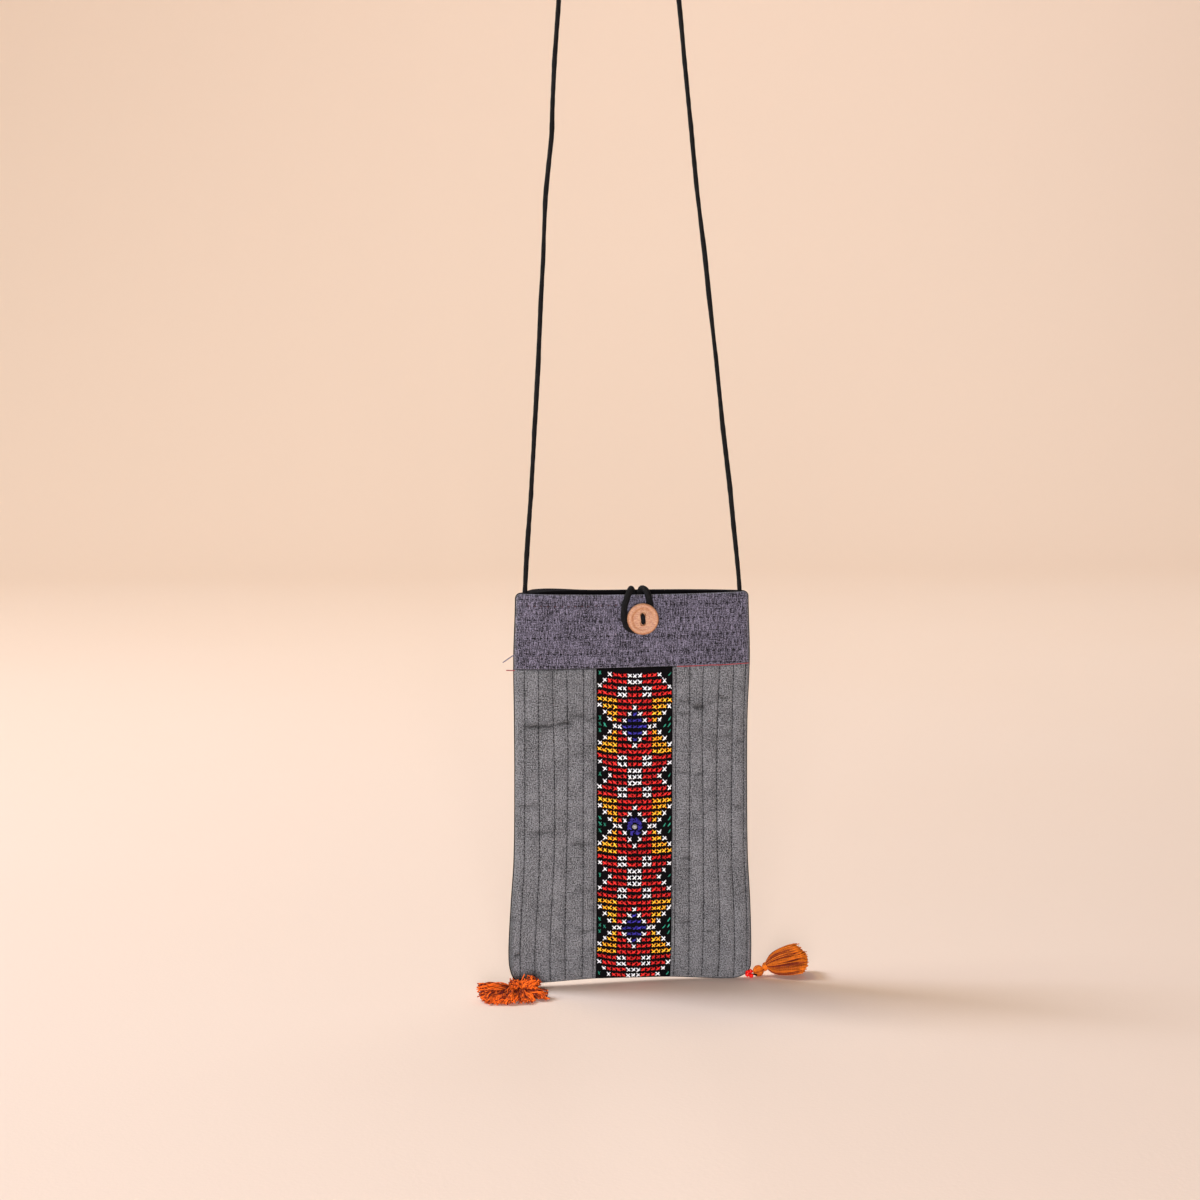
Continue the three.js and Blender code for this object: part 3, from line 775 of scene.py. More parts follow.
def embroidery_yarn(
    shade: str, deep: Colour, bright: Colour, roughness: float = 0.5, sheen: float = 0.0,
) -> Floss:
    """Floss of the cross-stitch, smoother than sewing thread and with less sheen."""
    return Floss(f"{shade}_embroidery_yarn", deep, bright, roughness, sheen)


GREY_COTTON = WovenCotton(
    "grey_quilting_cotton", linear(38, 39, 40), linear(126, 126, 130), upright=1.1, level=0.5, grain=2.9,
)
SLATE_COTTON = WovenCotton(
    "slate_slub_cotton", linear(18, 16, 22), linear(126, 120, 139),
    middle=0.34, upright=2.4, level=1.1, grain=2.6, relief=0.2,
)
BLACK_COTTON = WovenCotton(
    "plain_black_cotton", linear(4, 3, 4), linear(13, 11, 13), relief=0.1, sheen=0.0, shine=0.05,
)
BACK_COTTON = WovenCotton("black_back_cotton", linear(9, 8, 9), linear(36, 33, 36), relief=0.25, sheen=0.1)
SEWING_THREAD = Floss("dark_sewing_thread", linear(4, 3, 5), linear(19, 17, 21), sheen=0.0, shine=0.1)
MAROON_THREAD = Floss("maroon_sewing_thread", linear(46, 23, 31), linear(92, 47, 58), sheen=0.0)
RED_THREAD = Floss("red_sewing_thread", linear(68, 10, 19), linear(180, 69, 77), sheen=0.0)
SLATE_THREAD = Floss("slate_loose_thread", linear(69, 62, 80), linear(108, 99, 118))
RUST_FLOSS = Floss("rust_orange_floss", linear(92, 8, 0), linear(244, 106, 16), 0.8, 0.0)
GOLDEN_FLOSS = Floss("golden_orange_floss", linear(102, 20, 0), linear(229, 118, 14), 0.8, 0.0)
RED_BEAD = GlossyBead("glossy_red_bead", linear(196, 6, 4), linear(248, 30, 16))
PALE_BEAD = GlossyBead("pale_grey_bead", linear(104, 103, 106), linear(168, 165, 164), roughness=0.6)
YARNS = {
    Yarn.RED: embroidery_yarn("red", linear(150, 2, 8), linear(255, 46, 38)),
    Yarn.WHITE: embroidery_yarn("white", linear(224, 225, 232), linear(252, 254, 255), 0.55, 0.2),
    Yarn.YELLOW: embroidery_yarn("yellow", linear(255, 150, 2), linear(255, 220, 62)),
    Yarn.BLUE: embroidery_yarn("blue", linear(14, 10, 80), linear(72, 60, 194)),
    Yarn.GREEN: embroidery_yarn("green", linear(4, 66, 52), linear(52, 176, 144), 0.55),
}


@dataclass(frozen=True)
class Pouch:
    """Outline of the pouch and the bulge of its walls, for whole arrays of places at once."""

    rim: float = 191.6
    front_dip: float = 0.7
    back_rise: float = 0.6
    back_peak: float = 1.4
    peak_at: float = 0.12
    peak_reach: float = 0.14
    rise_between: tuple[float, float] = (0.02, 0.08)
    rim_corner: float = 2.6
    left_corner: tuple[float, float] = (5.0, 12.0)
    right_corner: tuple[float, float] = (9.0, 7.0)
    arch: float = 1.6
    arch_from: float = 10.0
    arch_to: float = 44.0
    strip_foot: float = 1.2
    half_depth: float = 6.05
    flat_power: float = 4.0
    flat_round: float = 0.6
    width: float = 114.3
    strip_half: float = 18.2
    seam_left: float = 155.0
    seam_right: float = 156.7
    gap: float = 0.3
    thin: float = 0.12

    @property
    def panel(self) -> float:
        """Width of a grey panel, from the strip's edge to the side seam."""
        return self.width / 2 - self.strip_half

    def edge(self, side: Side, z: Array) -> Array:
        """X of a side edge at heights z."""
        return smooth(OUTLINE, z, side.name.lower())

    def lift(self, inset: Array, across: float, up: float) -> Array:
        """Quarter-ellipse lift towards a corner: full at the side, none further in than across."""
        q = np.clip(1 - inset / across, 0, 1)
        return up * (1 - np.sqrt(1 - q * q))

    def bottom(self, inset: Array, side: Side) -> Array:
        """Height of the bottom seam at distances in from a side edge: a round corner, then a slight arch."""
        corner = self.left_corner if side is Side.LEFT else self.right_corner
        return self.arch * smoothstep(inset, self.arch_from, self.arch_to) + self.lift(inset, *corner)

    def rim_line(self, share: Array, rise: Array) -> Array:
        """Height of a rim at shares of the width: level, with a rise of its own and round corners."""
        inset = np.minimum(share, 1 - share) * self.width
        return self.rim + rise - self.lift(inset, self.rim_corner, self.rim_corner)

    def front_rim(self, share: Array) -> Array:
        """Height of the front rim, a parabola that dips in the middle."""
        return self.rim_line(share, -self.front_dip * 4 * share * (1 - share))

    def back_rim(self, share: Array) -> Array:
        """Height of the back rim: a low parabola with a bell-shaped rise near its left end."""
        peak = self.back_peak * np.exp(-(((share - self.peak_at) / self.peak_reach) ** 2))
        rise = self.back_rise * 4 * share * (1 - share) + peak
        return self.rim_line(share, rise * smoothstep(share, *self.rise_between))

    def seam(self, share: Array) -> Array:
        """Height of the seam under the top band at shares of the width."""
        return self.seam_left + (self.seam_right - self.seam_left) * share

    def half_space(self, x: Array, z: Array, lift: Array | float = 0.0) -> Array:
        """Half the space between the walls: flat in the middle, drawn in at the sides and the bottom."""
        left, right = self.edge(Side.LEFT, z), self.edge(Side.RIGHT, z)
        u = np.minimum(1, np.abs(x - (left + right) / 2) / ((right - left) / 2))
        across = (1 - u**self.flat_power) ** self.flat_round
        return self.gap / 2 + self.half_depth * across * smooth(OUTLINE, z - lift, "swell")


POUCH = Pouch()
OUTWARD = np.array([0.0, -1.0, 0.0])


class SubAssembly:
    """Base of the bag's sub-assemblies, with the way to hand a finished mesh to the frame."""

    def adopt(self, patch: Patch, name: str, finish: Finish, slot: Slot, *nodes: str) -> bpy.types.Object:
        """Places a mesh, makes it ride on the bag's body and stand for CAD nodes.

        Args:
            patch: The mesh.
            name: Name of the piece.
            finish: Its surface.
            slot: Slot of the record that the finish belongs to; not used.
            nodes: CAD nodes that the piece stands for.

        Returns:
            The piece.
        """
        piece = patch.place(name, finish.material())
        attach(piece, BODY)
        if nodes:
            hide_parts(*nodes)
        LOG.info("%s: %d points, %d faces", name, len(patch.points), sum(len(f) for f in patch.faces))
        return piece


@dataclass
class QuiltedPanel(SubAssembly):
    """One grey front panel: upright sewn tucks with puffed channels between them, and pressed creases."""

    side: Side
    thickness: float = 1.45
    puff: float = 0.5
    full_channel: float = 0.15
    groove: float = 0.33
    line_half: float = 0.3
    # Painted shade along each tuck line's groove, and the most painted shade that creases reach
    line_shade: float = 0.34
    darkest: float = 0.75
    fold: float = 1.8
    inner_fold: float = 0.8
    top_fold: float = 1.2
    frayed_between: tuple[float, float] = (20.0, 64.0)
    fine: int = 13
    rows: int = 270
    stitch_count: int = 74
    stitch: float = 1.6
    thread: float = 0.23

    @property
    def name(self) -> str:
        """Word for the panel's side in piece names."""
        return self.side.name.lower()

    @property
    def lines(self) -> Array:
        """Places of the tuck lines, as shares of the way out from the strip."""
        return np.array(TUCK_LINES[self.side])

    @property
    def knots(self) -> Array:
        """Places of the tuck lines and of the panel's two edges."""
        return np.array([0, *self.lines, 1.0])

    def columns(self) -> Array:
        """Shares of the way out from the strip, drawn together at each tuck line by half cosine waves."""
        bend = (1 - np.cos(np.linspace(0, math.pi, self.fine, endpoint=False))) / 2
        return np.append((self.knots[:-1, None] + np.diff(self.knots)[:, None] * bend).ravel(), 1.0)

    def span(self, out: Array) -> tuple[Array, Array, Array]:
        """Distances in from the side edge, and the panel's foot and top, at shares of the way out."""
        inset = (1 - out) * POUCH.panel
        share = 0.5 + self.side.value * (0.5 - inset / POUCH.width)
        return inset, POUCH.bottom(inset, self.side), POUCH.seam(share) - POUCH.gap / 2

    def across(self, out: Array, z: Array) -> Array:
        """X at shares of the way out: straight from strip to edge, with tuck lines that wander a little."""
        inner = self.side.value * (POUCH.strip_half + POUCH.gap / 2)
        wander = 0.35 * np.sin(z / 21 + 9 * out + self.side.value) * np.sin(math.pi * out)
        return inner + (POUCH.edge(self.side, z) - inner) * out + wander

    def channels(self, out: Array, z: Array) -> Array:
        """Puff over the tucks: a flat-topped arch between neighbouring lines, less a groove on each line."""
        knots = self.knots
        i = np.clip(np.searchsorted(knots, out, side="right") - 1, 0, len(knots) - 2)
        wide = knots[i + 1] - knots[i]
        arch = 1 - np.abs(2 * (out - knots[i]) / wide - 1) ** 3
        full = self.puff * np.minimum(1, wide / self.full_channel) * (1 + 0.5 * ripple(40 * i, z, 11, 30))
        return arch * (full + self.groove) - self.groove

    def creases(self, x: Array, z: Array) -> tuple[Array, Array]:
        """Depth and painted shade of the creases: a valley along each wavy line, with a soft lip, and a
        broader band of painted shade.
        """
        depth, dark = np.zeros_like(x), np.zeros_like(x)
        for c in CREASES:
            away = z - c["z"] - c["climb"] * (x - c["x"]) - 0.22 * np.sin(1.4 * x + 3 * c["z"])
            reach = np.exp(-(((x - c["x"]) / c["reach"]) ** 4))
            valley = np.exp(-((away / (0.7 * c["width"])) ** 2)) * reach
            broad_shade = np.exp(-((away / (2.4 * c["width"])) ** 2)) * reach
            lip = np.exp(-(((away - 1.5 * c["width"]) / c["width"]) ** 2)) * reach
            depth += c["depth"] * (1.3 * valley - 0.8 * lip)
            # The darkness is painted shade: in the valley and a broader band round it
            dark += c["depth"] * (1.5 * valley + 0.6 * broad_shade)
        return depth, np.clip(dark, 0, self.darkest)

    def face(self, out: Array, z: Array, lift: Array | float = 0.0) -> Array:
        """Points on the panel's outer face, raised by a lift.

        Args:
            out: Shares of the way out from the strip.
            z: Heights.
            lift: Distance above the cloth.

        Returns:
            Points, with one more axis than out.
        """
        inset, low, high = self.span(out)
        x = self.across(out, z)
        bulk = self.thickness + self.channels(out, z) - self.creases(x, z)[0] + 0.16 * ripple(x, z, 5, 26)
        turned = rounded(inset, self.fold) * rounded(z - low, self.fold)
        turned = turned * (0.35 + 0.65 * rounded(out * POUCH.panel, self.inner_fold))
        turned = turned * (0.6 + 0.4 * rounded(high - z, self.top_fold))
        return np.stack([x, -POUCH.half_space(x, z, low) - POUCH.thin - bulk * turned - lift, z], axis=-1)

    def darkness(self, out: Array, inset: Array, x: Array, z: Array) -> Array:
        """Darkness of the face, from 0 to 1: painted shade in the creases and along each tuck line's groove,
        and the real worn lower left edge.

        Args:
            out: Shares of the way out from the strip.
            inset: Distances in from the side edge.
            x: Places across.
            z: Heights.

        Returns:
            Darkness at each place.
        """
        worn = (self.side is Side.LEFT) * 0.9 * (1 - smoothstep(z, *self.frayed_between))
        worn = worn * np.exp(-((inset / 1.2) ** 2)) * (0.7 + 0.5 * ripple(x, z, 13, 5))
        # Painted shade in the groove along each tuck line
        away = np.abs(out[..., None] - self.lines).min(axis=-1) * POUCH.panel
        sewn = self.line_shade * np.exp(-((away / self.line_half) ** 2)) * (1 + 0.6 * ripple(x, z, 17, 5))
        return np.clip(np.maximum(self.creases(x, z)[1], worn) + sewn, 0, 1)

    def cloth(self) -> Patch:
        """The panel's wall: its face on a grid, and the plain inner face behind it."""
        out = self.columns()[:: self.side.value]
        inset, low, high = self.span(out)
        z = low + (high - low) * graded(self.rows)[:, None]
        out = np.broadcast_to(out, z.shape)
        front = self.face(out, z)
        x = front[..., 0]
        back = np.stack([x, -POUCH.half_space(x, z, low), z], axis=-1)
        return Patch.wall(front, back, np.stack([x, z], axis=-1), self.darkness(out, inset, x, z))

    def stitches(self) -> Patch:
        """Dashes of thread along each tuck line: short arcs that dive into the cloth at both ends."""
        rng = np.random.default_rng(20 + self.side.value)
        line = self.lines[:, None, None]
        _, low, high = self.span(line)
        middle = np.linspace(0.012, 0.992, self.stitch_count)[None, :, None]
        z = low + (high - low) * middle + rng.normal(0, 0.08, (line.size, self.stitch_count, 1))
        s = np.linspace(-1, 1, 5)
        z = z + s * self.stitch / 2
        line = np.broadcast_to(line, z.shape)
        lift = 0.2 * (1 - s**2) - 0.16 + rng.normal(0, 0.03, (*z.shape[:2], 1))
        paths = self.face(line, z, lift).reshape(-1, len(s), 3)
        tint = rng.uniform(0.2, 0.8, (len(paths), 1))
        return Patch.tubes(paths, self.thread, 5, OUTWARD, tint)

    def build(self) -> None:
        """Builds and dresses the panel and its stitches."""
        node = f"front_panel_{self.name}"
        panel = self.adopt(self.cloth(), f"panel_{self.name}", GREY_COTTON, Slot.QUILTING, node)
        sewing = self.adopt(self.stitches(), f"panel_{self.name}_stitches", SEWING_THREAD, Slot.BLACK)


@dataclass
class EmbroideredStrip(SubAssembly):
    """Black strip between the panels, with its cross-stitch chart worked in twisted yarn."""

    thickness: float = 1.2
    columns: int = 15
    chart_rows: int = 49
    period: int = 16
    column_step: float = 2.4
    sag_left: float = 1.8
    sag_right: float = 0.65
    yarn: float = 0.3
    flatness: float = 0.6
    ply_offset: float = 0.2
    over_height: float = 0.66
    under_height: float = 0.26
    coil_row: int = 24
    coil_reach: int = 5
    coil_stitch: float = 0.75
    dot_radius: float = 1.2
    dot_half_depth: float = 0.75
    grid: tuple[int, int] = (40, 180)

    def face(self, x: Array, z: Array, lift: Array | float = 0.0) -> Array:
        """Points on the strip's cloth, raised by a lift."""
        return np.stack([x, -POUCH.half_space(x, z, POUCH.strip_foot) - self.thickness - lift, z], axis=-1)

    def cloth(self) -> Patch:
        """The strip's wall, a grid from panel to panel and from the bottom seam to the band."""
        across, up = self.grid
        x = np.linspace(-1, 1, across + 1) * (POUCH.strip_half - POUCH.gap / 2)
        foot, high = POUCH.strip_foot, POUCH.seam(0.5 + x / POUCH.width) - POUCH.gap / 2
        z = foot + (high - foot) * graded(up)[:, None]
        x = np.broadcast_to(x, z.shape)
        slack = 0.12 * ripple(x, z, 3, 18) - (1 - rounded(z - foot, 1.6)) * (self.thickness - 0.1)
        inner = np.stack([x, -POUCH.half_space(x, z, foot), z], axis=-1)
        return Patch.wall(self.face(x, z, slack), inner, np.stack([x, z], axis=-1))

    def chart(self) -> Array:
        """Letters of the whole chart: mirrored about its middle column and about every eighth row."""
        rows = np.arange(self.chart_rows)
        near_coil = np.abs(rows - self.coil_row) < self.coil_reach
        rows = np.minimum(rows % self.period, -rows % self.period)
        half = np.array([list(line) for line in CHART])[rows]
        chart = np.concatenate([half, half[:, -2::-1]], axis=1)
        chart[(chart == Yarn.BLUE.value) & near_coil[:, None]] = "."
        return chart

    def cell(self, row: Array, column: Array) -> tuple[Array, Array]:
        """Middle of a chart cell; rows sag a little, as parabolas to the left and to the right."""
        x = (column - (self.columns - 1) / 2) * self.column_step
        out = x / ((self.columns - 1) / 2 * self.column_step)
        z = np.interp(row, CHART_ROWS["row"], CHART_ROWS["z"])
        return x, z + np.where(x < 0, self.sag_left, self.sag_right) * out**2

    def strokes(
        self, x: Array, z: Array, dx: Array, dz: Array, height: float, seed: int, size: float,
    ) -> Patch:
        """Straight stitches of two-ply yarn: each ply winds round a line that arches up from the cloth.

        Args:
            x: Middles of the stitches.
            z: Their heights.
            dx: Half their run to the right.
            dz: Half their rise.
            height: How far their middles stand off the cloth.
            seed: Seed of their unevenness.
            size: Yarn thickness over the usual.

        Returns:
            All the stitches as one patch.
        """
        rng = np.random.default_rng(seed)
        s = np.linspace(-1, 1, 7)
        jitter = rng.normal(0, 0.11, (4, len(x), 1))
        line_x = x[:, None] + dx[:, None] * s + jitter[0] + jitter[1] * s
        line_z = z[:, None] + dz[:, None] * s + jitter[2] + jitter[3] * s
        turn = 2.2 * s + rng.uniform(0, math.tau, (len(x), 1))
        turn = np.concatenate([turn, turn + math.pi])
        beside = unit(np.stack([-dz, dx], axis=1))[:, :, None]
        offset = self.ply_offset * size
        lean = np.tile(beside, (2, 1, 1)) * (offset * np.cos(turn))[:, None]
        px, pz = np.tile(line_x, (2, 1)) + lean[:, 0], np.tile(line_z, (2, 1)) + lean[:, 1]
        arch = height * (1 - s**4) - 0.12 * s**4 + offset * np.sin(turn) * (1 - 0.5 * s**2)
        # Painted highlight on each stitch's raised middle and painted shade at its ends, over a random tint
        tint = np.tile(rng.uniform(0.25, 0.85, (len(x), 1)), (2, 1)) + 0.35 * (1 - s**2) - 0.25
        paths = self.face(px, np.maximum(pz, POUCH.strip_foot + 0.3), arch)
        return Patch.tubes(paths, self.yarn * size, 5, OUTWARD, tint, self.flatness)

    def crosses(self, letter: Yarn) -> Patch:
        """Every cross of one yarn: two slanting stitches, the upper one leaning out from the middle."""
        row, column = np.nonzero(self.chart() == letter.value)
        x, z = self.cell(row, column)
        lean = np.where(column < self.columns // 2, -1.0, 1.0)
        reach, rise, size = STITCH_SIZES[letter]
        dx, dz = np.full(len(x), reach), rise * lean
        over = self.strokes(x, z, dx, dz, self.over_height, ord(letter.value), 1.08 * size)
        whole = (letter is not Yarn.GREEN) | (lean < 0)
        under = self.strokes(x[whole], z[whole], dx[whole], -dz[whole], self.under_height, 7, 0.84 * size)
        # Painted shade: the under stitch, beneath the upper one, is darker
        under.numbers[TINT] -= 0.3
        return Patch.join(over, under)

    def coil(self) -> Patch:
        """Round motif in the middle: two oval rings of short stitches, each leaning across its ring."""
        x0, z0 = self.cell(np.array(self.coil_row), np.array(self.columns // 2))
        parts = []
        for ring in COIL_RINGS:
            count = int(ring["count"])
            turn = np.arange(count) * math.tau / count + np.random.default_rng(count).normal(0, 0.16, count)
            out, up = np.cos(turn), np.sin(turn)
            dx, dz = ring["slant"] * out - self.coil_stitch * up, ring["slant"] * up + self.coil_stitch * out
            x, z = x0 + ring["wide"] * out, z0 + ring["tall"] * up
            parts.append(self.strokes(x, z, dx, dz, ring["height"], count, 0.85))
            parts[-1].numbers[TINT] -= 0.3
        return Patch.join(*parts)

    def dot(self) -> Patch:
        """Small pale bead in the coil: a flattened ball turned about the strip's outward line."""
        x0, z0 = self.cell(np.array(self.coil_row), np.array(self.columns // 2))
        turn = -np.arange(1, 21) * math.tau / 20
        dip = np.linspace(0.12, math.pi - 0.12, 12)[:, None]
        x = x0 + self.dot_radius * np.sin(dip) * np.cos(turn)
        z = z0 + self.dot_radius * np.sin(dip) * np.sin(turn)
        middle = -POUCH.half_space(x0, z0) - self.thickness - 0.45
        y = np.broadcast_to(middle + self.dot_half_depth * np.cos(dip), x.shape)
        return Patch.barrel(np.stack([x, y, z], axis=-1))

    def build(self) -> None:
        """Builds and dresses the strip, its stitches in each yarn and the coil's bead."""
        strip = self.adopt(self.cloth(), "strip_cloth", BLACK_COTTON, Slot.BLACK, "embroidered_strip")
        for letter in Yarn:
            work = self.crosses(letter)
            if letter is Yarn.BLUE:
                work = Patch.join(work, self.coil())
            name = f"cross_stitch_{letter.name.lower()}"
            self.adopt(work, name, YARNS[letter], Slot.CROSS_STITCH)
        self.adopt(self.dot(), "coil_bead", PALE_BEAD, Slot.CROSS_STITCH)


@dataclass
class TopBand(SubAssembly):
    """Slate band across the top of the front, with its rows of running stitch and the red thread under it."""

    thickness: float = 1.75
    fold: float = 1.5
    seam_fold: float = 0.8
    pitch: float = 3.2
    stitch_rows: tuple[float, ...] = (0.04, 0.21, 0.43, 0.66, 0.86)
    stitch_half: float = 0.46
    stitch_thread: float = 0.29
    pit_half: tuple[float, float] = (0.75, 0.55)
    pit_depth: float = 0.34
    # Painted shade in the pits round the running stitches
    pit_shade: float = 0.5
    mid_height: float = 172.0
    grid: tuple[int, int] = (190, 76)

    def row(self, share: Array, level: float) -> Array:
        """Height of a stitch row: a share of the way from the seam up to the rim, with a slight wave."""
        low, high = POUCH.seam(share), POUCH.front_rim(share)
        wave = 0.35 * np.sin(9 * share + 40 * level) + 0.9 * (share - 0.5) * level
        return low + (high - low) * level + wave

    def pits(self, share: Array, x: Array, z: Array) -> Array:
        """Share of full depth in the pits round the running stitches: a bell curve about each stitch."""
        across = (x - self.pitch * np.round(x / self.pitch)) / self.pit_half[0]
        up = [(z - self.row(share, level)) / self.pit_half[1] for level in self.stitch_rows]
        return sum(np.exp(-(away**2) - across**2) for away in up)

    def face(self, share: Array, z: Array, lift: Array | float = 0.0) -> Array:
        """Points on the band's outer face: folded round at its edges, with a pit at every running stitch."""
        low, high = POUCH.seam(share) + POUCH.gap / 2, POUCH.front_rim(share)
        left, right = POUCH.edge(Side.LEFT, z), POUCH.edge(Side.RIGHT, z)
        x = left + (right - left) * share
        inset = np.minimum(share, 1 - share) * POUCH.width
        bulk = self.thickness + 0.14 * ripple(x, z, 8, 20) + 0.05 * ripple(3 * x, z / 3, 9, 12)
        bulk = bulk - self.pit_depth * self.pits(share, x, z)
        turned = rounded(inset, self.fold) * rounded(high - z, self.fold)
        turned = turned * (0.45 + 0.55 * rounded(z - low, self.seam_fold))
        return np.stack([x, -POUCH.half_space(x, z) - POUCH.thin - bulk * turned - lift, z], axis=-1)

    def cloth(self) -> Patch:
        """The band's wall, a grid from side to side and from the seam to the rim."""
        share = graded(self.grid[0], 0.85)
        low, high = POUCH.seam(share) + POUCH.gap / 2, POUCH.front_rim(share)
        z = low + (high - low) * graded(self.grid[1], 0.6)[:, None]
        share = np.broadcast_to(share, z.shape)
        front = self.face(share, z)
        x = front[..., 0]
        back = np.stack([x, -POUCH.half_space(x, z), z], axis=-1)
        # The pits also get painted shade, scaled by pit_shade
        return Patch.wall(front, back, np.stack([x, z], axis=-1), self.pit_shade * self.pits(share, x, z))

    def share_at(self, x: Array) -> Array:
        """Share of the width at a distance to the right of the middle."""
        left, right = POUCH.edge(Side.LEFT, self.mid_height), POUCH.edge(Side.RIGHT, self.mid_height)
        return (x - left) / (right - left)

    def running_stitch(self, rows: tuple[float, ...], left: float, right: float) -> Patch:
        """Short level stitches, one in each pit of some rows, between two places across the band."""
        first, last = math.ceil(left / self.pitch), math.floor(right / self.pitch)
        beats = np.arange(first, last + 1) * self.pitch
        s = np.linspace(-1, 1, 5)
        rng = np.random.default_rng(len(beats))
        x = beats[None, :, None] + self.stitch_half * s + rng.normal(0, 0.15, (len(rows), len(beats), 1))
        share = self.share_at(x)
        z = np.stack([self.row(share[i], level) for i, level in enumerate(rows)])
        lift = 0.16 * (1 - s**2) - 0.12
        paths = self.face(share, z, lift).reshape(-1, len(s), 3)
        return Patch.tubes(paths, self.stitch_thread, 5, OUTWARD, rng.uniform(0.0, 0.3, (len(paths), 1)))

    def seam_thread(self) -> Patch:
        """Red thread that shows along the right half of the seam, half sunk under the band."""
        x = np.linspace(20.4, 56.0, 60)
        share = self.share_at(x)
        z = POUCH.seam(share) + 0.05 + 0.18 * ripple(x, 0 * x, 31, 14)
        y = -POUCH.half_space(x, z) - 1.55 - 0.3 * ripple(x, 0 * x, 32, 9)
        return Patch.tubes(np.stack([x, y, z], axis=-1)[None], 0.18, 6, OUTWARD, 0.75)

    def loose_end(self, radius: float, *route: Place) -> Patch:
        """A loose end of thread along a route."""
        return Patch.tubes(along_route(np.array(route), 0.4)[None], radius, 6, OUTWARD, 0.5)

    def build(self) -> None:
        """Builds and dresses the band, its stitches and its loose threads."""
        band = self.adopt(self.cloth(), "band_cloth", SLATE_COTTON, Slot.BAND, "top_band")
        lower, top = self.stitch_rows[:-1], self.stitch_rows[-1:]
        dark = Patch.join(self.running_stitch(lower, -54.0, 53.0), self.running_stitch(top, 10.0, 52.0))
        maroon = self.running_stitch(top, -53.0, -7.5)
        stub = self.loose_end(0.24, (-55.5, -1.0, 154.6), (-57.6, -1.0, 154.4), (-61.4, -1.6, 154.6))
        stray = self.loose_end(0.26, (-56.0, -0.9, 162.6), (-58.4, -1.2, 161.4), (-63.0, -2.0, 158.4))
        red = Patch.join(self.seam_thread(), stub)
        pieces = [
            self.adopt(dark, "band_running_stitch", SEWING_THREAD, Slot.BLACK),
            self.adopt(maroon, "band_maroon_stitch", MAROON_THREAD, Slot.BAND),
            self.adopt(red, "band_red_thread", RED_THREAD, Slot.BAND),
            self.adopt(stray, "band_loose_thread", SLATE_THREAD, Slot.BAND),
        ]


@dataclass
class BackAndLining(SubAssembly):
    """Plain black back, which wraps a little past the front's edges, and the black lining in the mouth."""

    thickness: float = 1.4
    fold: float = 1.6
    wrap: float = 0.5
    lining_half: float = 49.4
    lining_foot: float = 8.6
    lining_gap: float = 0.45
    lining_wall: float = 1.0
    back_grid: tuple[int, int] = (150, 190)
    lining_grid: tuple[int, int] = (64, 60)

    def back(self) -> Patch:
        """The back's wall, a grid from seam to seam whose outer face is folded round at its edges."""
        share = graded(self.back_grid[0], 0.85)
        inset = np.minimum(share, 1 - share) * POUCH.width
        low = np.where(share < 0.5, POUCH.bottom(inset, Side.LEFT), POUCH.bottom(inset, Side.RIGHT))
        high = POUCH.back_rim(share)
        z = low + (high - low) * graded(self.back_grid[1], 0.6)[:, None]
        left, right = POUCH.edge(Side.LEFT, z) - self.wrap, POUCH.edge(Side.RIGHT, z) + self.wrap
        x = left + (right - left) * share
        space = POUCH.half_space(x, z, low)
        turned = rounded(inset, self.fold) * rounded(z - low, self.fold) * rounded(high - z, self.fold)
        bulk = (self.thickness + 0.2 * ripple(x, z, 14, 34) + 0.06 * ripple(x, z, 15, 9)) * turned
        z = z - self.wrap * (1 - smoothstep(z - low, 0.0, 3.0))
        front = np.stack([x, space, z], axis=-1)
        outer = np.stack([x, space + POUCH.thin + bulk, z], axis=-1)
        return Patch.wall(front, outer, np.stack([x, z], axis=-1))

    def lining(self) -> Patch:
        """The lining: an oval pouch, drawn up from its foot to the rim outside and down again inside."""
        columns, rows = self.lining_grid
        across = -np.cos(math.pi * np.arange(columns + 1) / columns)
        u = np.concatenate([across, across[-2:0:-1]])
        side = np.concatenate([-np.ones(columns + 1), np.ones(columns - 1)])
        level = np.concatenate([graded(rows), graded(rows)[::-1]])[:, None]
        inset = np.repeat([0.0, self.lining_wall], rows + 1)[:, None]
        share = 0.5 + u * self.lining_half / POUCH.width
        line = np.where(side < 0, POUCH.front_rim(share), POUCH.back_rim(share))
        rim = POUCH.rim + (line - POUCH.rim) * (1 - u * u) - POUCH.gap
        z = self.lining_foot + inset + (rim - self.lining_foot - inset) * level
        middle = (POUCH.edge(Side.LEFT, z) + POUCH.edge(Side.RIGHT, z)) / 2
        deep = POUCH.half_space(middle, z, POUCH.arch) - self.lining_gap - inset
        y = side * deep * np.sqrt(1 - np.abs(u) ** 3)
        points = np.stack([middle + u * (self.lining_half - inset), y, z], axis=-1)
        return Patch.barrel(points, np.concatenate([points[..., ::2], points[:, :1, ::2]], axis=1))

    def build(self) -> None:
        """Builds and dresses the back and the lining."""
        back = self.adopt(self.back(), "back_cloth", BACK_COTTON, Slot.BLACK, "back_panel")
        lining = self.adopt(self.lining(), "lining_cloth", BLACK_COTTON, Slot.BLACK, "lining")


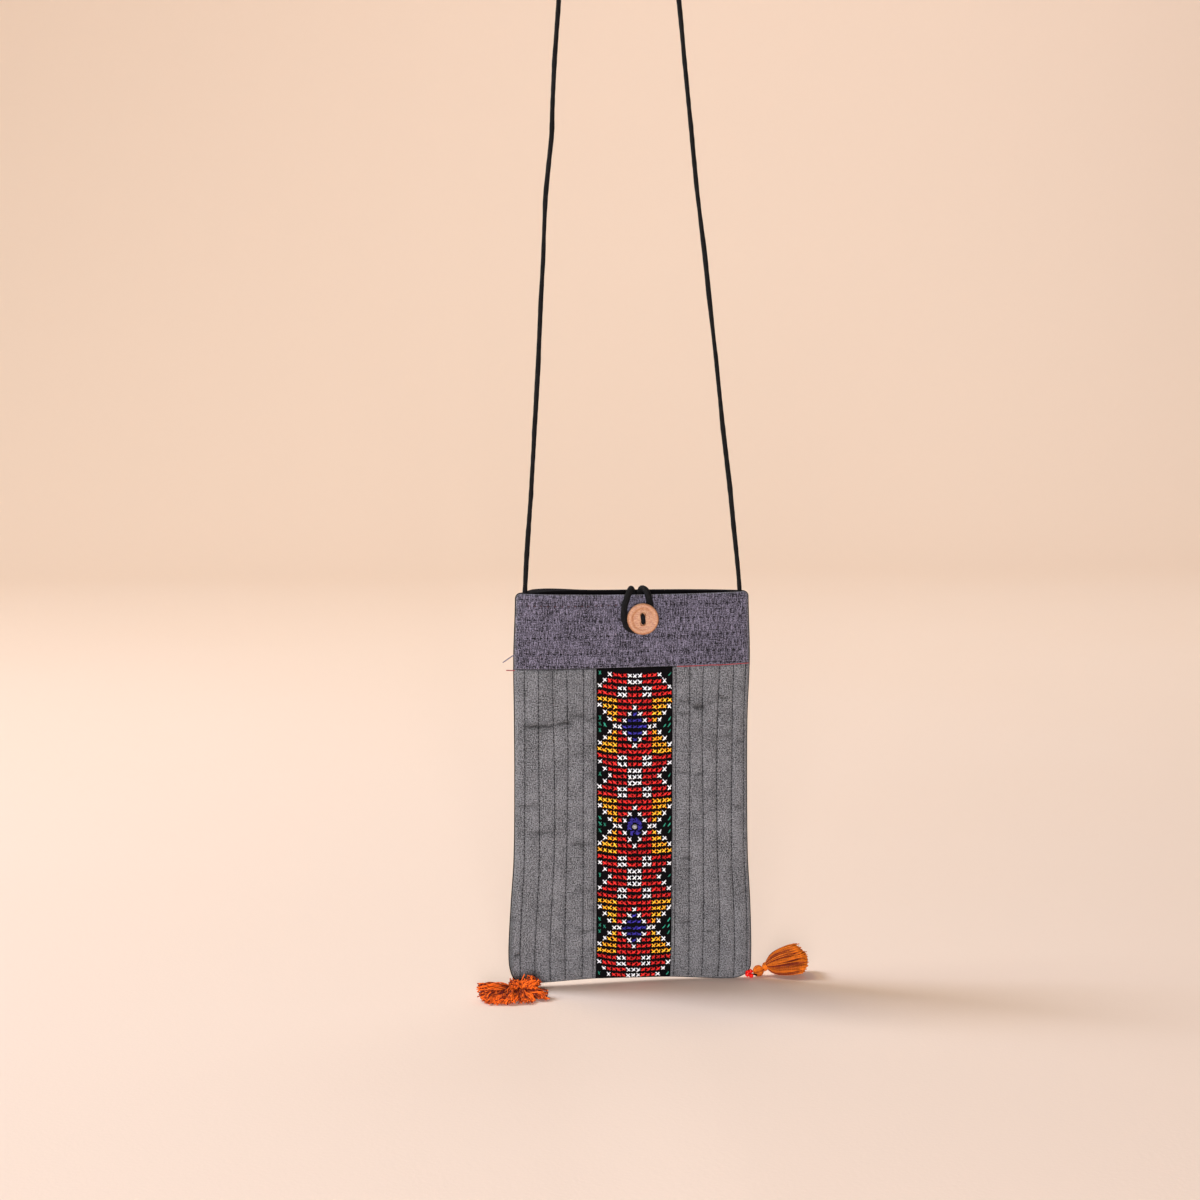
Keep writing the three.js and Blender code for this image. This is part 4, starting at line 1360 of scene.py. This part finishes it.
@dataclass
class RolledCord(SubAssembly):
    """Base of the pieces made of cotton rolled into a cord."""

    diameter: float = 2.6
    step: float = 0.9
    sides: int = 14
    ridge: float = 0.16
    fullness: float = 0.81
    wind: float = 9.0

    def roll(self, path: Array, facing: Array, seed: int) -> Patch:
        """A tube whose rings have one raised fold that winds slowly round it, uneven along its length.

        Args:
            path: Middle line, (steps, 3).
            facing: Direction that the rings' second axis leans towards, spread to the path.
            seed: Seed of the unevenness, which also takes the two numbers after it.

        Returns:
            The cord.
        """
        run = np.arange(len(path)) * self.step
        turn = np.arange(self.sides) * math.tau / self.sides
        winding = run[:, None] / self.wind + 1.2 * ripple(run, 0 * run, seed, 40)[:, None]
        fold = np.exp(3 * (np.cos(turn - winding) - 1))
        slack = 0.09 * ripple(run, 0 * run, seed + 1, 7) + 0.16 * ripple(run, 0 * run, seed + 2, 70)
        radius = self.diameter / 2 * (self.fullness + self.ridge * fold + slack[:, None])
        return Patch.tubes(path[None], radius[None], self.sides, facing, 0.5)


@dataclass
class Strap(RolledCord):
    """Thin round strap, from one top corner up and over to the other."""

    def build(self) -> None:
        path = along_route(np.insert(STRAP_ROUTE.astype(float), 1, 0.0, axis=1), self.step)
        roll = self.roll(path, -OUTWARD, 41)
        cord = self.adopt(roll, "strap", RolledCotton(), Slot.CORD, "strap_cord")


@dataclass
class ButtonClosure(RolledCord):
    """Cord loop over the mouth, the wooden button that it holds, and the button's sewing thread."""

    diameter: float = 3.2
    step: float = 0.5
    fullness: float = 0.94
    loop_middle: Place = (1.2, -2.0, 186.0)
    x: float = 3.3
    z: float = 180.0
    back: float = -10.5
    radius: float = 7.5
    thickness: float = 2.6
    dish: float = 0.3
    hole: float = 1.25
    hole_step: float = 3.8
    rim_between: tuple[float, float] = (0.6, 0.78)
    round_edge: float = 0.12
    turns: int = 6
    thread: float = 0.36

    def loop(self) -> Patch:
        """The loop as a rolled cord whose rings lean away from the loop's middle."""
        path = along_route(LOOP_ROUTE, self.step)
        return self.roll(path, (path - self.loop_middle)[None], 51)

    def button(self) -> Patch:
        """A disc turned about Y: dished inside a rim, with round edges and two sewing holes as deep dents."""
        around, rings = 96, 44
        share = np.linspace(0.02, 1, rings)
        past = np.clip((share - 1 + self.round_edge) / self.round_edge, 0, 1)
        edge = 0.3 * self.thickness * (1 - np.sqrt(1 - past**2))
        front = -self.thickness + self.dish * (1 - smoothstep(share, *self.rim_between)) + edge
        radius = np.concatenate([share, share[::-1]]) * self.radius
        depth = np.concatenate([front, -edge[::-1]])
        turn = np.arange(around) * math.tau / around
        x, z = radius[:, None] * np.cos(turn), radius[:, None] * np.sin(turn)
        near = np.minimum(np.hypot(x, z - self.hole_step / 2), np.hypot(x, z + self.hole_step / 2))
        sunk = 1.0 - smoothstep(near, self.hole - 0.15, self.hole + 0.1)
        y = depth[:, None] * (1 - 0.55 * sunk)
        return Patch.barrel(np.stack([self.x + x, self.back + y, self.z + z], axis=-1))

    def sewing(self) -> Patch:
        """Turns of thread side by side: up through one hole, over the front and down through the other."""
        rng = np.random.default_rng(61)
        face = self.back - self.thickness + self.dish
        band = -POUCH.half_space(self.x, self.z) - 1.9
        paths = []
        for dx in np.linspace(-0.75, 0.75, self.turns):
            bow = 0.55 - 0.35 * dx**2 + rng.normal(0, 0.04)
            half = (self.hole_step / 2 + 0.35) * (1 - 0.3 * dx**2)
            front = (dx, face - bow * 0.6, half * 0.75)
            up = [(0.4 * dx, band, half), (0.6 * dx, face + 0.6, half + 0.1), front]
            down = [(x, y, -z) for x, y, z in up]
            path = along_route(np.array([*down, (dx, face - bow, 0.0), *up[::-1]]), 0.3)
            even = np.linspace(0, len(path) - 1, 60).round().astype(int)
            paths.append(path[even])
        lean = np.array([0.08, 0.0, 0.0])
        lines = np.array(paths) - np.array(paths)[..., 2:] * lean + np.array([self.x, 0.0, self.z])
        tint = rng.uniform(0.1, 0.6, (self.turns, 1))
        return Patch.tubes(lines, self.thread, 7, np.array([1.0, 0.0, 0.0]), tint)

    def build(self) -> None:
        """Builds and dresses the loop, the button and its thread."""
        self.adopt(self.loop(), "loop_cord", RolledCotton(), Slot.CORD, "button_loop")
        centre = tuple(to_row((self.x, self.back, self.z)))
        self.adopt(self.button(), "button_disc", SmoothWood(centre), Slot.WOOD, "button")
        self.adopt(self.sewing(), "button_sewing", SEWING_THREAD, Slot.BLACK, "button_thread")


@dataclass
class CornerTassel(SubAssembly):
    """Tassel at a lower corner: a cluster of seed beads, a ball of folded strands and its neck."""

    side: Side
    bead: Place
    head: Place
    root: Place
    towards: Place
    corner_inset: Place = (55.5, 0.0, 5.0)
    bead_spread: float = 0.88
    bead_ring: float = 0.5
    bead_body: float = 0.66
    bead_length: float = 1.3
    head_radius: float = 2.8
    meridians: int = 34
    neck_turns: int = 4
    neck_thread: float = 0.42
    strand: float = 0.3
    ground: float = -2.5
    floss: Floss = RUST_FLOSS

    @property
    def name(self) -> str:
        """Stem of the tassel's node and piece names."""
        return f"tassel_{self.side.name.lower()}"

    def axes(self) -> tuple[Array, Array, Array]:
        """Direction along the skirt from its root in the head, and two directions across it."""
        ahead = unit(np.array(self.towards) - np.array(self.root))
        side = unit(np.cross(ahead, (0.0, 0.0, 1.0)))
        return ahead, side, np.cross(side, ahead)

    def beads(self) -> Patch:
        """Four seed beads as rings turned different ways, on a corner each of a small tetrahedron."""
        corners = np.array([(1, 1, 1), (1, -1, -1), (-1, 1, -1), (-1, -1, 1)]) * self.bead_spread
        turn, roll = np.meshgrid(np.arange(20) * math.tau / 20, np.arange(13) * math.tau / 12)
        reach = self.bead_ring + self.bead_body * np.cos(roll)
        rise = self.bead_length * self.bead_body * np.sin(roll)
        flat = np.stack([reach * np.cos(turn), reach * np.sin(turn), rise], axis=-1)
        parts = []
        for corner in corners:
            ahead = unit(corner + np.array([0.3, -0.9, 0.2]))
            across = unit(np.cross(ahead, (0.2, 0.1, 1.0)))
            basis = np.stack([across, np.cross(ahead, across), ahead])
            patch = Patch.grid(flat @ basis + corner + self.bead, np.zeros((13, 21, 2)), ring=True)
            patch.points = patch.points[: turn[:-1].size]
            patch.faces = [patch.faces[0] % len(patch.points)]
            parts.append(patch)
        return Patch.join(*parts)

    def tie(self) -> Patch:
        """Dark thread from the bag's corner through the beads, swelling to a knot on the head's near side."""
        corner = np.array(self.corner_inset) * (self.side.value, 1, 1)
        knot = np.array(self.head) + self.head_radius * np.array([-0.42 * self.side.value, -0.72, -0.55])
        path = along_route(np.array([corner, self.bead, (np.array(self.bead) + knot) / 2, knot]), 0.3)
        swell = 0.32 + 0.4 * np.linspace(0, 1, len(path))[:, None] ** 12
        return Patch.tubes(path[None], swell, 6, np.array([0.0, 0.3, 1.0]), 0.4)

    def ball(self) -> Patch:
        """Strands folded over the head, as meridians from its crown to the neck."""
        rng = np.random.default_rng(70 + self.side.value)
        ahead, side, up = self.axes()
        count = self.meridians
        turn = np.arange(count)[:, None] * math.tau / count
        dip = np.linspace(0.12, 2.75, 16)
        reach = (self.head_radius - self.strand) * (1 + rng.normal(0, 0.015, (count, 1)))
        along = -reach * np.cos(dip)
        out = reach * np.sin(dip) * (1 - 0.25 * smoothstep(dip, 2.0, 2.75))
        ring = side * np.cos(turn + 0.12 * dip)[..., None] + up * np.sin(turn + 0.12 * dip)[..., None]
        paths = np.array(self.head) + along[..., None] * ahead + out[..., None] * ring
        return Patch.tubes(paths, self.strand, 5, ahead + 0.01, rng.uniform(0.3, 0.9, (count, 1)))

    def neck(self) -> Patch:
        """Turns of thread round the neck: a helix that is widest halfway along."""
        ahead, side, up = self.axes()
        share = np.linspace(0, 1, 120)[:, None]
        wrap = share * self.neck_turns * math.tau
        low = (np.array(self.head) + np.array(self.root)) / 2 + 2.3 * ahead
        high = np.array(self.root) + 4.5 * ahead
        coil = side * np.cos(wrap) + up * np.sin(wrap)
        path = low + (high - low) * share + (1.75 - 0.6 * (2 * share - 1) ** 2) * coil
        return Patch.tubes(path[None], self.neck_thread, 6, ahead, 0.8)

    def skirt(self) -> Patch:
        """Loose strands of the skirt."""
        raise NotImplementedError

    def build(self) -> None:
        """Builds and dresses the beads with their thread, the head and the skirt."""
        ball = Patch.join(self.ball(), self.neck())
        self.adopt(self.beads(), f"{self.name}_seed_beads", RED_BEAD, Slot.BEADS, f"{self.name}_beads")
        self.adopt(self.tie(), f"{self.name}_tie", SEWING_THREAD, Slot.BLACK)
        self.adopt(ball, f"{self.name}_ball", self.floss, Slot.TASSEL, f"{self.name}_head")
        self.adopt(self.skirt(), f"{self.name}_strands", self.floss, Slot.TASSEL, f"{self.name}_skirt")


@dataclass
class FlaredTassel(CornerTassel):
    """Right tassel: its strands lie straight in one flaring bundle with a rounded cut end."""

    count: int = 900
    locks: int = 72
    neck_at: float = 2.6
    longest: float = 24.4
    steps: int = 12

    def skirt(self) -> Patch:
        """Strands at random shares of the bundle's radius, along its profile to a cut end of their own.

        Neighbouring strands make a lock, which shares a small push outwards and a random tone. Strands near
        the core get painted shade, and the cut ends a painted highlight.

        Returns:
            The strands.
        """
        rng = np.random.default_rng(81)
        ahead, side, up = self.axes()
        share = np.sqrt(rng.uniform(0.02, 1, (self.count, 1)))
        turn = rng.uniform(0, math.tau, (self.count, 1))
        above, below = np.clip(np.sin(turn), 0, 1), np.clip(-np.sin(turn), 0, 1)
        cut = self.longest - share * (4.2 * above**1.5 + 2.6 * below + 1.2 * share)
        cut = cut + rng.normal(0, 0.45, (self.count, 1))
        along = self.neck_at + (cut - self.neck_at) * np.linspace(0, 1, self.steps)
        swing = turn + rng.normal(0, 0.05, (self.count, 1)) * (along / 12) ** 2
        lock = (turn / math.tau * self.locks).astype(int)
        push = rng.normal(0, 0.2, self.locks)[lock] * (along / 20)
        radius = smooth(FLARED_SKIRT, along, "radius") * share + push
        ring = side * np.cos(swing)[..., None] + up * np.sin(swing)[..., None]
        paths = np.array(self.root) + along[..., None] * ahead + radius[..., None] * ring
        paths[..., 2] = np.maximum(paths[..., 2], self.ground + 0.4)
        tint = rng.normal(-0.06, 0.44, (self.count, 1))
        # Painted shade: strands nearer the core are darker; painted highlight: each strand lightens towards
        # its cut end
        tint = tint + (0.4 + rng.normal(0, 0.16, self.locks)[lock]) * share + 0.8 * (along / cut) ** 9
        return Patch.tubes(paths, 0.8 * self.strand, 4, up + 0.3 * side, tint)


@dataclass
class SplayedTassel(CornerTassel):
    """Left tassel: its strands splay over the ground in lobes, with their cut ends towards the front.

    One stray strand stands up by itself.
    """

    count: int = 1100
    fork: Place = (-57.6, -13.7, 0.4)
    steps: int = 10
    stray: tuple[Place, Place, Place] = ((-56.5, -16.5, 3.6), (-55.3, -16.3, 6.3), (-54.0, -16.0, 8.9))
    stray_tint: float = 0.8

    def skirt(self) -> Patch:
        """Strands as curly parabolas that leave the way to a lobe early or late and end all over the lobe."""
        rng = np.random.default_rng(91)
        lobe = LOBES[rng.choice(len(LOBES), self.count, p=LOBES["share"])]
        ball = unit(rng.normal(0, 1, (self.count, 3))) * rng.uniform(0, 1, (self.count, 1)) ** 0.4
        middle = np.stack([lobe["x"], lobe["y"], lobe["z"]], axis=1)
        end = middle + ball * np.stack([lobe["wide"], lobe["deep"], lobe["high"]], axis=1)
        end[-1] = self.stray[2]
        end[:, 2] = np.maximum(end[:, 2], self.ground + 0.4)
        start = np.array(self.fork) + (middle - self.fork) * rng.uniform(0, 0.55, (self.count, 1))
        start += rng.normal(0, 1, (self.count, 3)) * (1.3, 1.4, 0.7)
        knee = start * 0.5 + end * 0.5 + rng.normal(0, 1.7, (self.count, 3))
        knee[:, 2] += lobe["arch"]
        start[-1], knee[-1] = self.stray[:2]
        f = np.linspace(0, 1, self.steps)[:, None]
        paths = start[:, None] * (1 - f) ** 2 + knee[:, None] * 2 * f * (1 - f) + end[:, None] * f**2
        curl = rng.uniform(0, math.tau, (self.count, 1, 3)) + f * rng.uniform(4, 9, (self.count, 1, 1))
        paths[:-1] += np.sin(curl[:-1]) * f**1.5
        paths[..., 2] = np.maximum(paths[..., 2], self.ground + 0.25)
        # Painted shade: each strand is darker near the fork and lighter towards its end, over a random tint
        tint = rng.normal(0.35, 0.5, (self.count, 1)) + 0.35 * f[:, 0] ** 2 - 0.1
        tint[-1] = self.stray_tint
        facing = unit(rng.normal(0, 1, (self.count, 1, 3)))
        return Patch.tubes(paths, self.strand, 4, facing, tint)


@dataclass(frozen=True)
class SoftLight:
    """Square area light, out of the camera's sight, that looks from its place at an aim."""

    name: str
    place: Place
    aim: Place
    size: float
    watts: float
    tone: Colour

    def build(self) -> None:
        """Makes the light."""
        lamp = bpy.data.lights.new(self.name, "AREA")
        lamp.size = self.size * MM
        lamp.energy = self.watts
        lamp.color = self.tone[:3]
        made = bpy.data.objects.new(self.name, lamp)
        made.location = to_row(self.place)
        x, y, z = np.subtract(self.aim, self.place)
        made.rotation_euler = (math.atan2(math.hypot(x, y), -z), 0.0, math.atan2(-x, y))
        made.visible_camera = False
        bpy.context.scene.collection.objects.link(made)


BAG_MIDDLE = (0.0, 0.0, 90.0)
WALL_RIGHT = (900.0, 2300.0, 100.0)
LIGHTS = (
    SoftLight("key_side", (-1500.0, 500.0, 1700.0), BAG_MIDDLE, 600.0, 24.6, linear(211, 225, 255)),
    SoftLight("key_top", (-700.0, 600.0, 2100.0), BAG_MIDDLE, 600.0, 10.2, linear(255, 232, 178)),
    SoftLight("window", (-3000.0, 600.0, 3000.0), BAG_MIDDLE, 1800.0, 73.0, linear(240, 252, 244)),
    SoftLight("front", (-250.0, -2300.0, 340.0), BAG_MIDDLE, 640.0, 73.0, linear(253, 251, 253)),
    SoftLight("backdrop", (900.0, 1500.0, 1600.0), WALL_RIGHT, 2000.0, 17.2, linear(232, 245, 255)),
)


@dataclass
class Studio:
    """Warm paper sweep, soft lights and a camera at the photograph's place."""

    eye: Place = (-120.2, -1143.7, 337.0)
    pitch: float = 7.4
    heading: float = 5.2
    focal_pixels: float = 2415.0
    frame_pixels: float = 1200.0
    sensor: float = 36.0
    floor: float = -2.5
    rise: float = 2.0
    rise_between: tuple[float, float] = (-54.0, 24.0)
    half_width: float = 6000.0
    near: float = -5000.0
    bend: float = 1700.0
    radius: float = 1200.0
    height: float = 6000.0
    air: Colour = linear(255, 150, 60)
    air_strength: float = 0.06

    def camera(self) -> None:
        """Makes the camera: turned right by its heading and down by its pitch, with the photograph's lens."""
        lens = bpy.data.cameras.new("camera")
        lens.sensor_width = self.sensor
        lens.lens = self.focal_pixels / self.frame_pixels * self.sensor
        lens.clip_start, lens.clip_end = 0.05, 50.0
        made = bpy.data.objects.new("camera", lens)
        made.location = to_row(self.eye)
        made.rotation_euler = (math.radians(90 - self.pitch), 0.0, math.radians(-self.heading))
        bpy.context.scene.collection.objects.link(made)
        bpy.context.scene.camera = made

    def sweep(self) -> None:
        """Paper level from the front, then bent up in a quarter circle, and a little higher to the right."""
        turn = np.linspace(0, math.pi / 2, 48)
        y = np.concatenate([[self.near], self.bend + self.radius * np.sin(turn), [self.bend + self.radius]])
        z = self.floor + np.concatenate([[0.0], self.radius * (1 - np.cos(turn)), [self.height]])
        x = np.concatenate([[-self.half_width], np.linspace(*self.rise_between, 30), [self.half_width]])
        z = z[:, None] + self.rise * smoothstep(x, *self.rise_between)
        grid = np.stack(np.broadcast_arrays(x, y[:, None], z), axis=-1)
        paper = Patch.grid(grid, grid[..., :2]).place("paper_sweep", StudioPaper().material())

    def world(self) -> None:
        """Even warm light from all round, and plain colours without a film curve."""
        scene = bpy.context.scene
        sky = bpy.data.worlds.new("studio")
        sky.use_nodes = True
        shade = sky.node_tree.nodes["Background"]
        shade.inputs["Color"].default_value = self.air
        shade.inputs["Strength"].default_value = self.air_strength
        scene.world = sky
        scene.view_settings.view_transform = "Standard"

    def build(self) -> None:
        """Builds the whole studio."""
        self.camera()
        self.sweep()
        for light in LIGHTS:
            light.build()
        self.world()


def main() -> None:
    """Builds the studio and every sub-assembly in order."""
    logging.basicConfig(level=logging.INFO, format="%(name)s: %(message)s")
    Studio().build()
    sub_assemblies = [
        Strap(),
        BackAndLining(),
        QuiltedPanel(Side.LEFT),
        QuiltedPanel(Side.RIGHT),
        EmbroideredStrip(),
        TopBand(),
        ButtonClosure(),
        FlaredTassel(
            Side.RIGHT, bead=(57.6, -0.1, 1.7), head=(62.6, 2.4, 2.2), root=(62.6, 2.4, 3.9),
            towards=(86.8, 3.4, 8.5), ground=-0.5, floss=GOLDEN_FLOSS,
        ),
        SplayedTassel(
            Side.LEFT, bead=(-58.0, -1.4, -0.5), head=(-58.6, -6.3, 0.5), root=(-58.6, -6.3, 0.5),
            towards=(-59.4, -20.6, 1.0),
        ),
    ]
    for assembly in sub_assemblies:
        assembly.build()


if __name__ == "__main__":
    main()
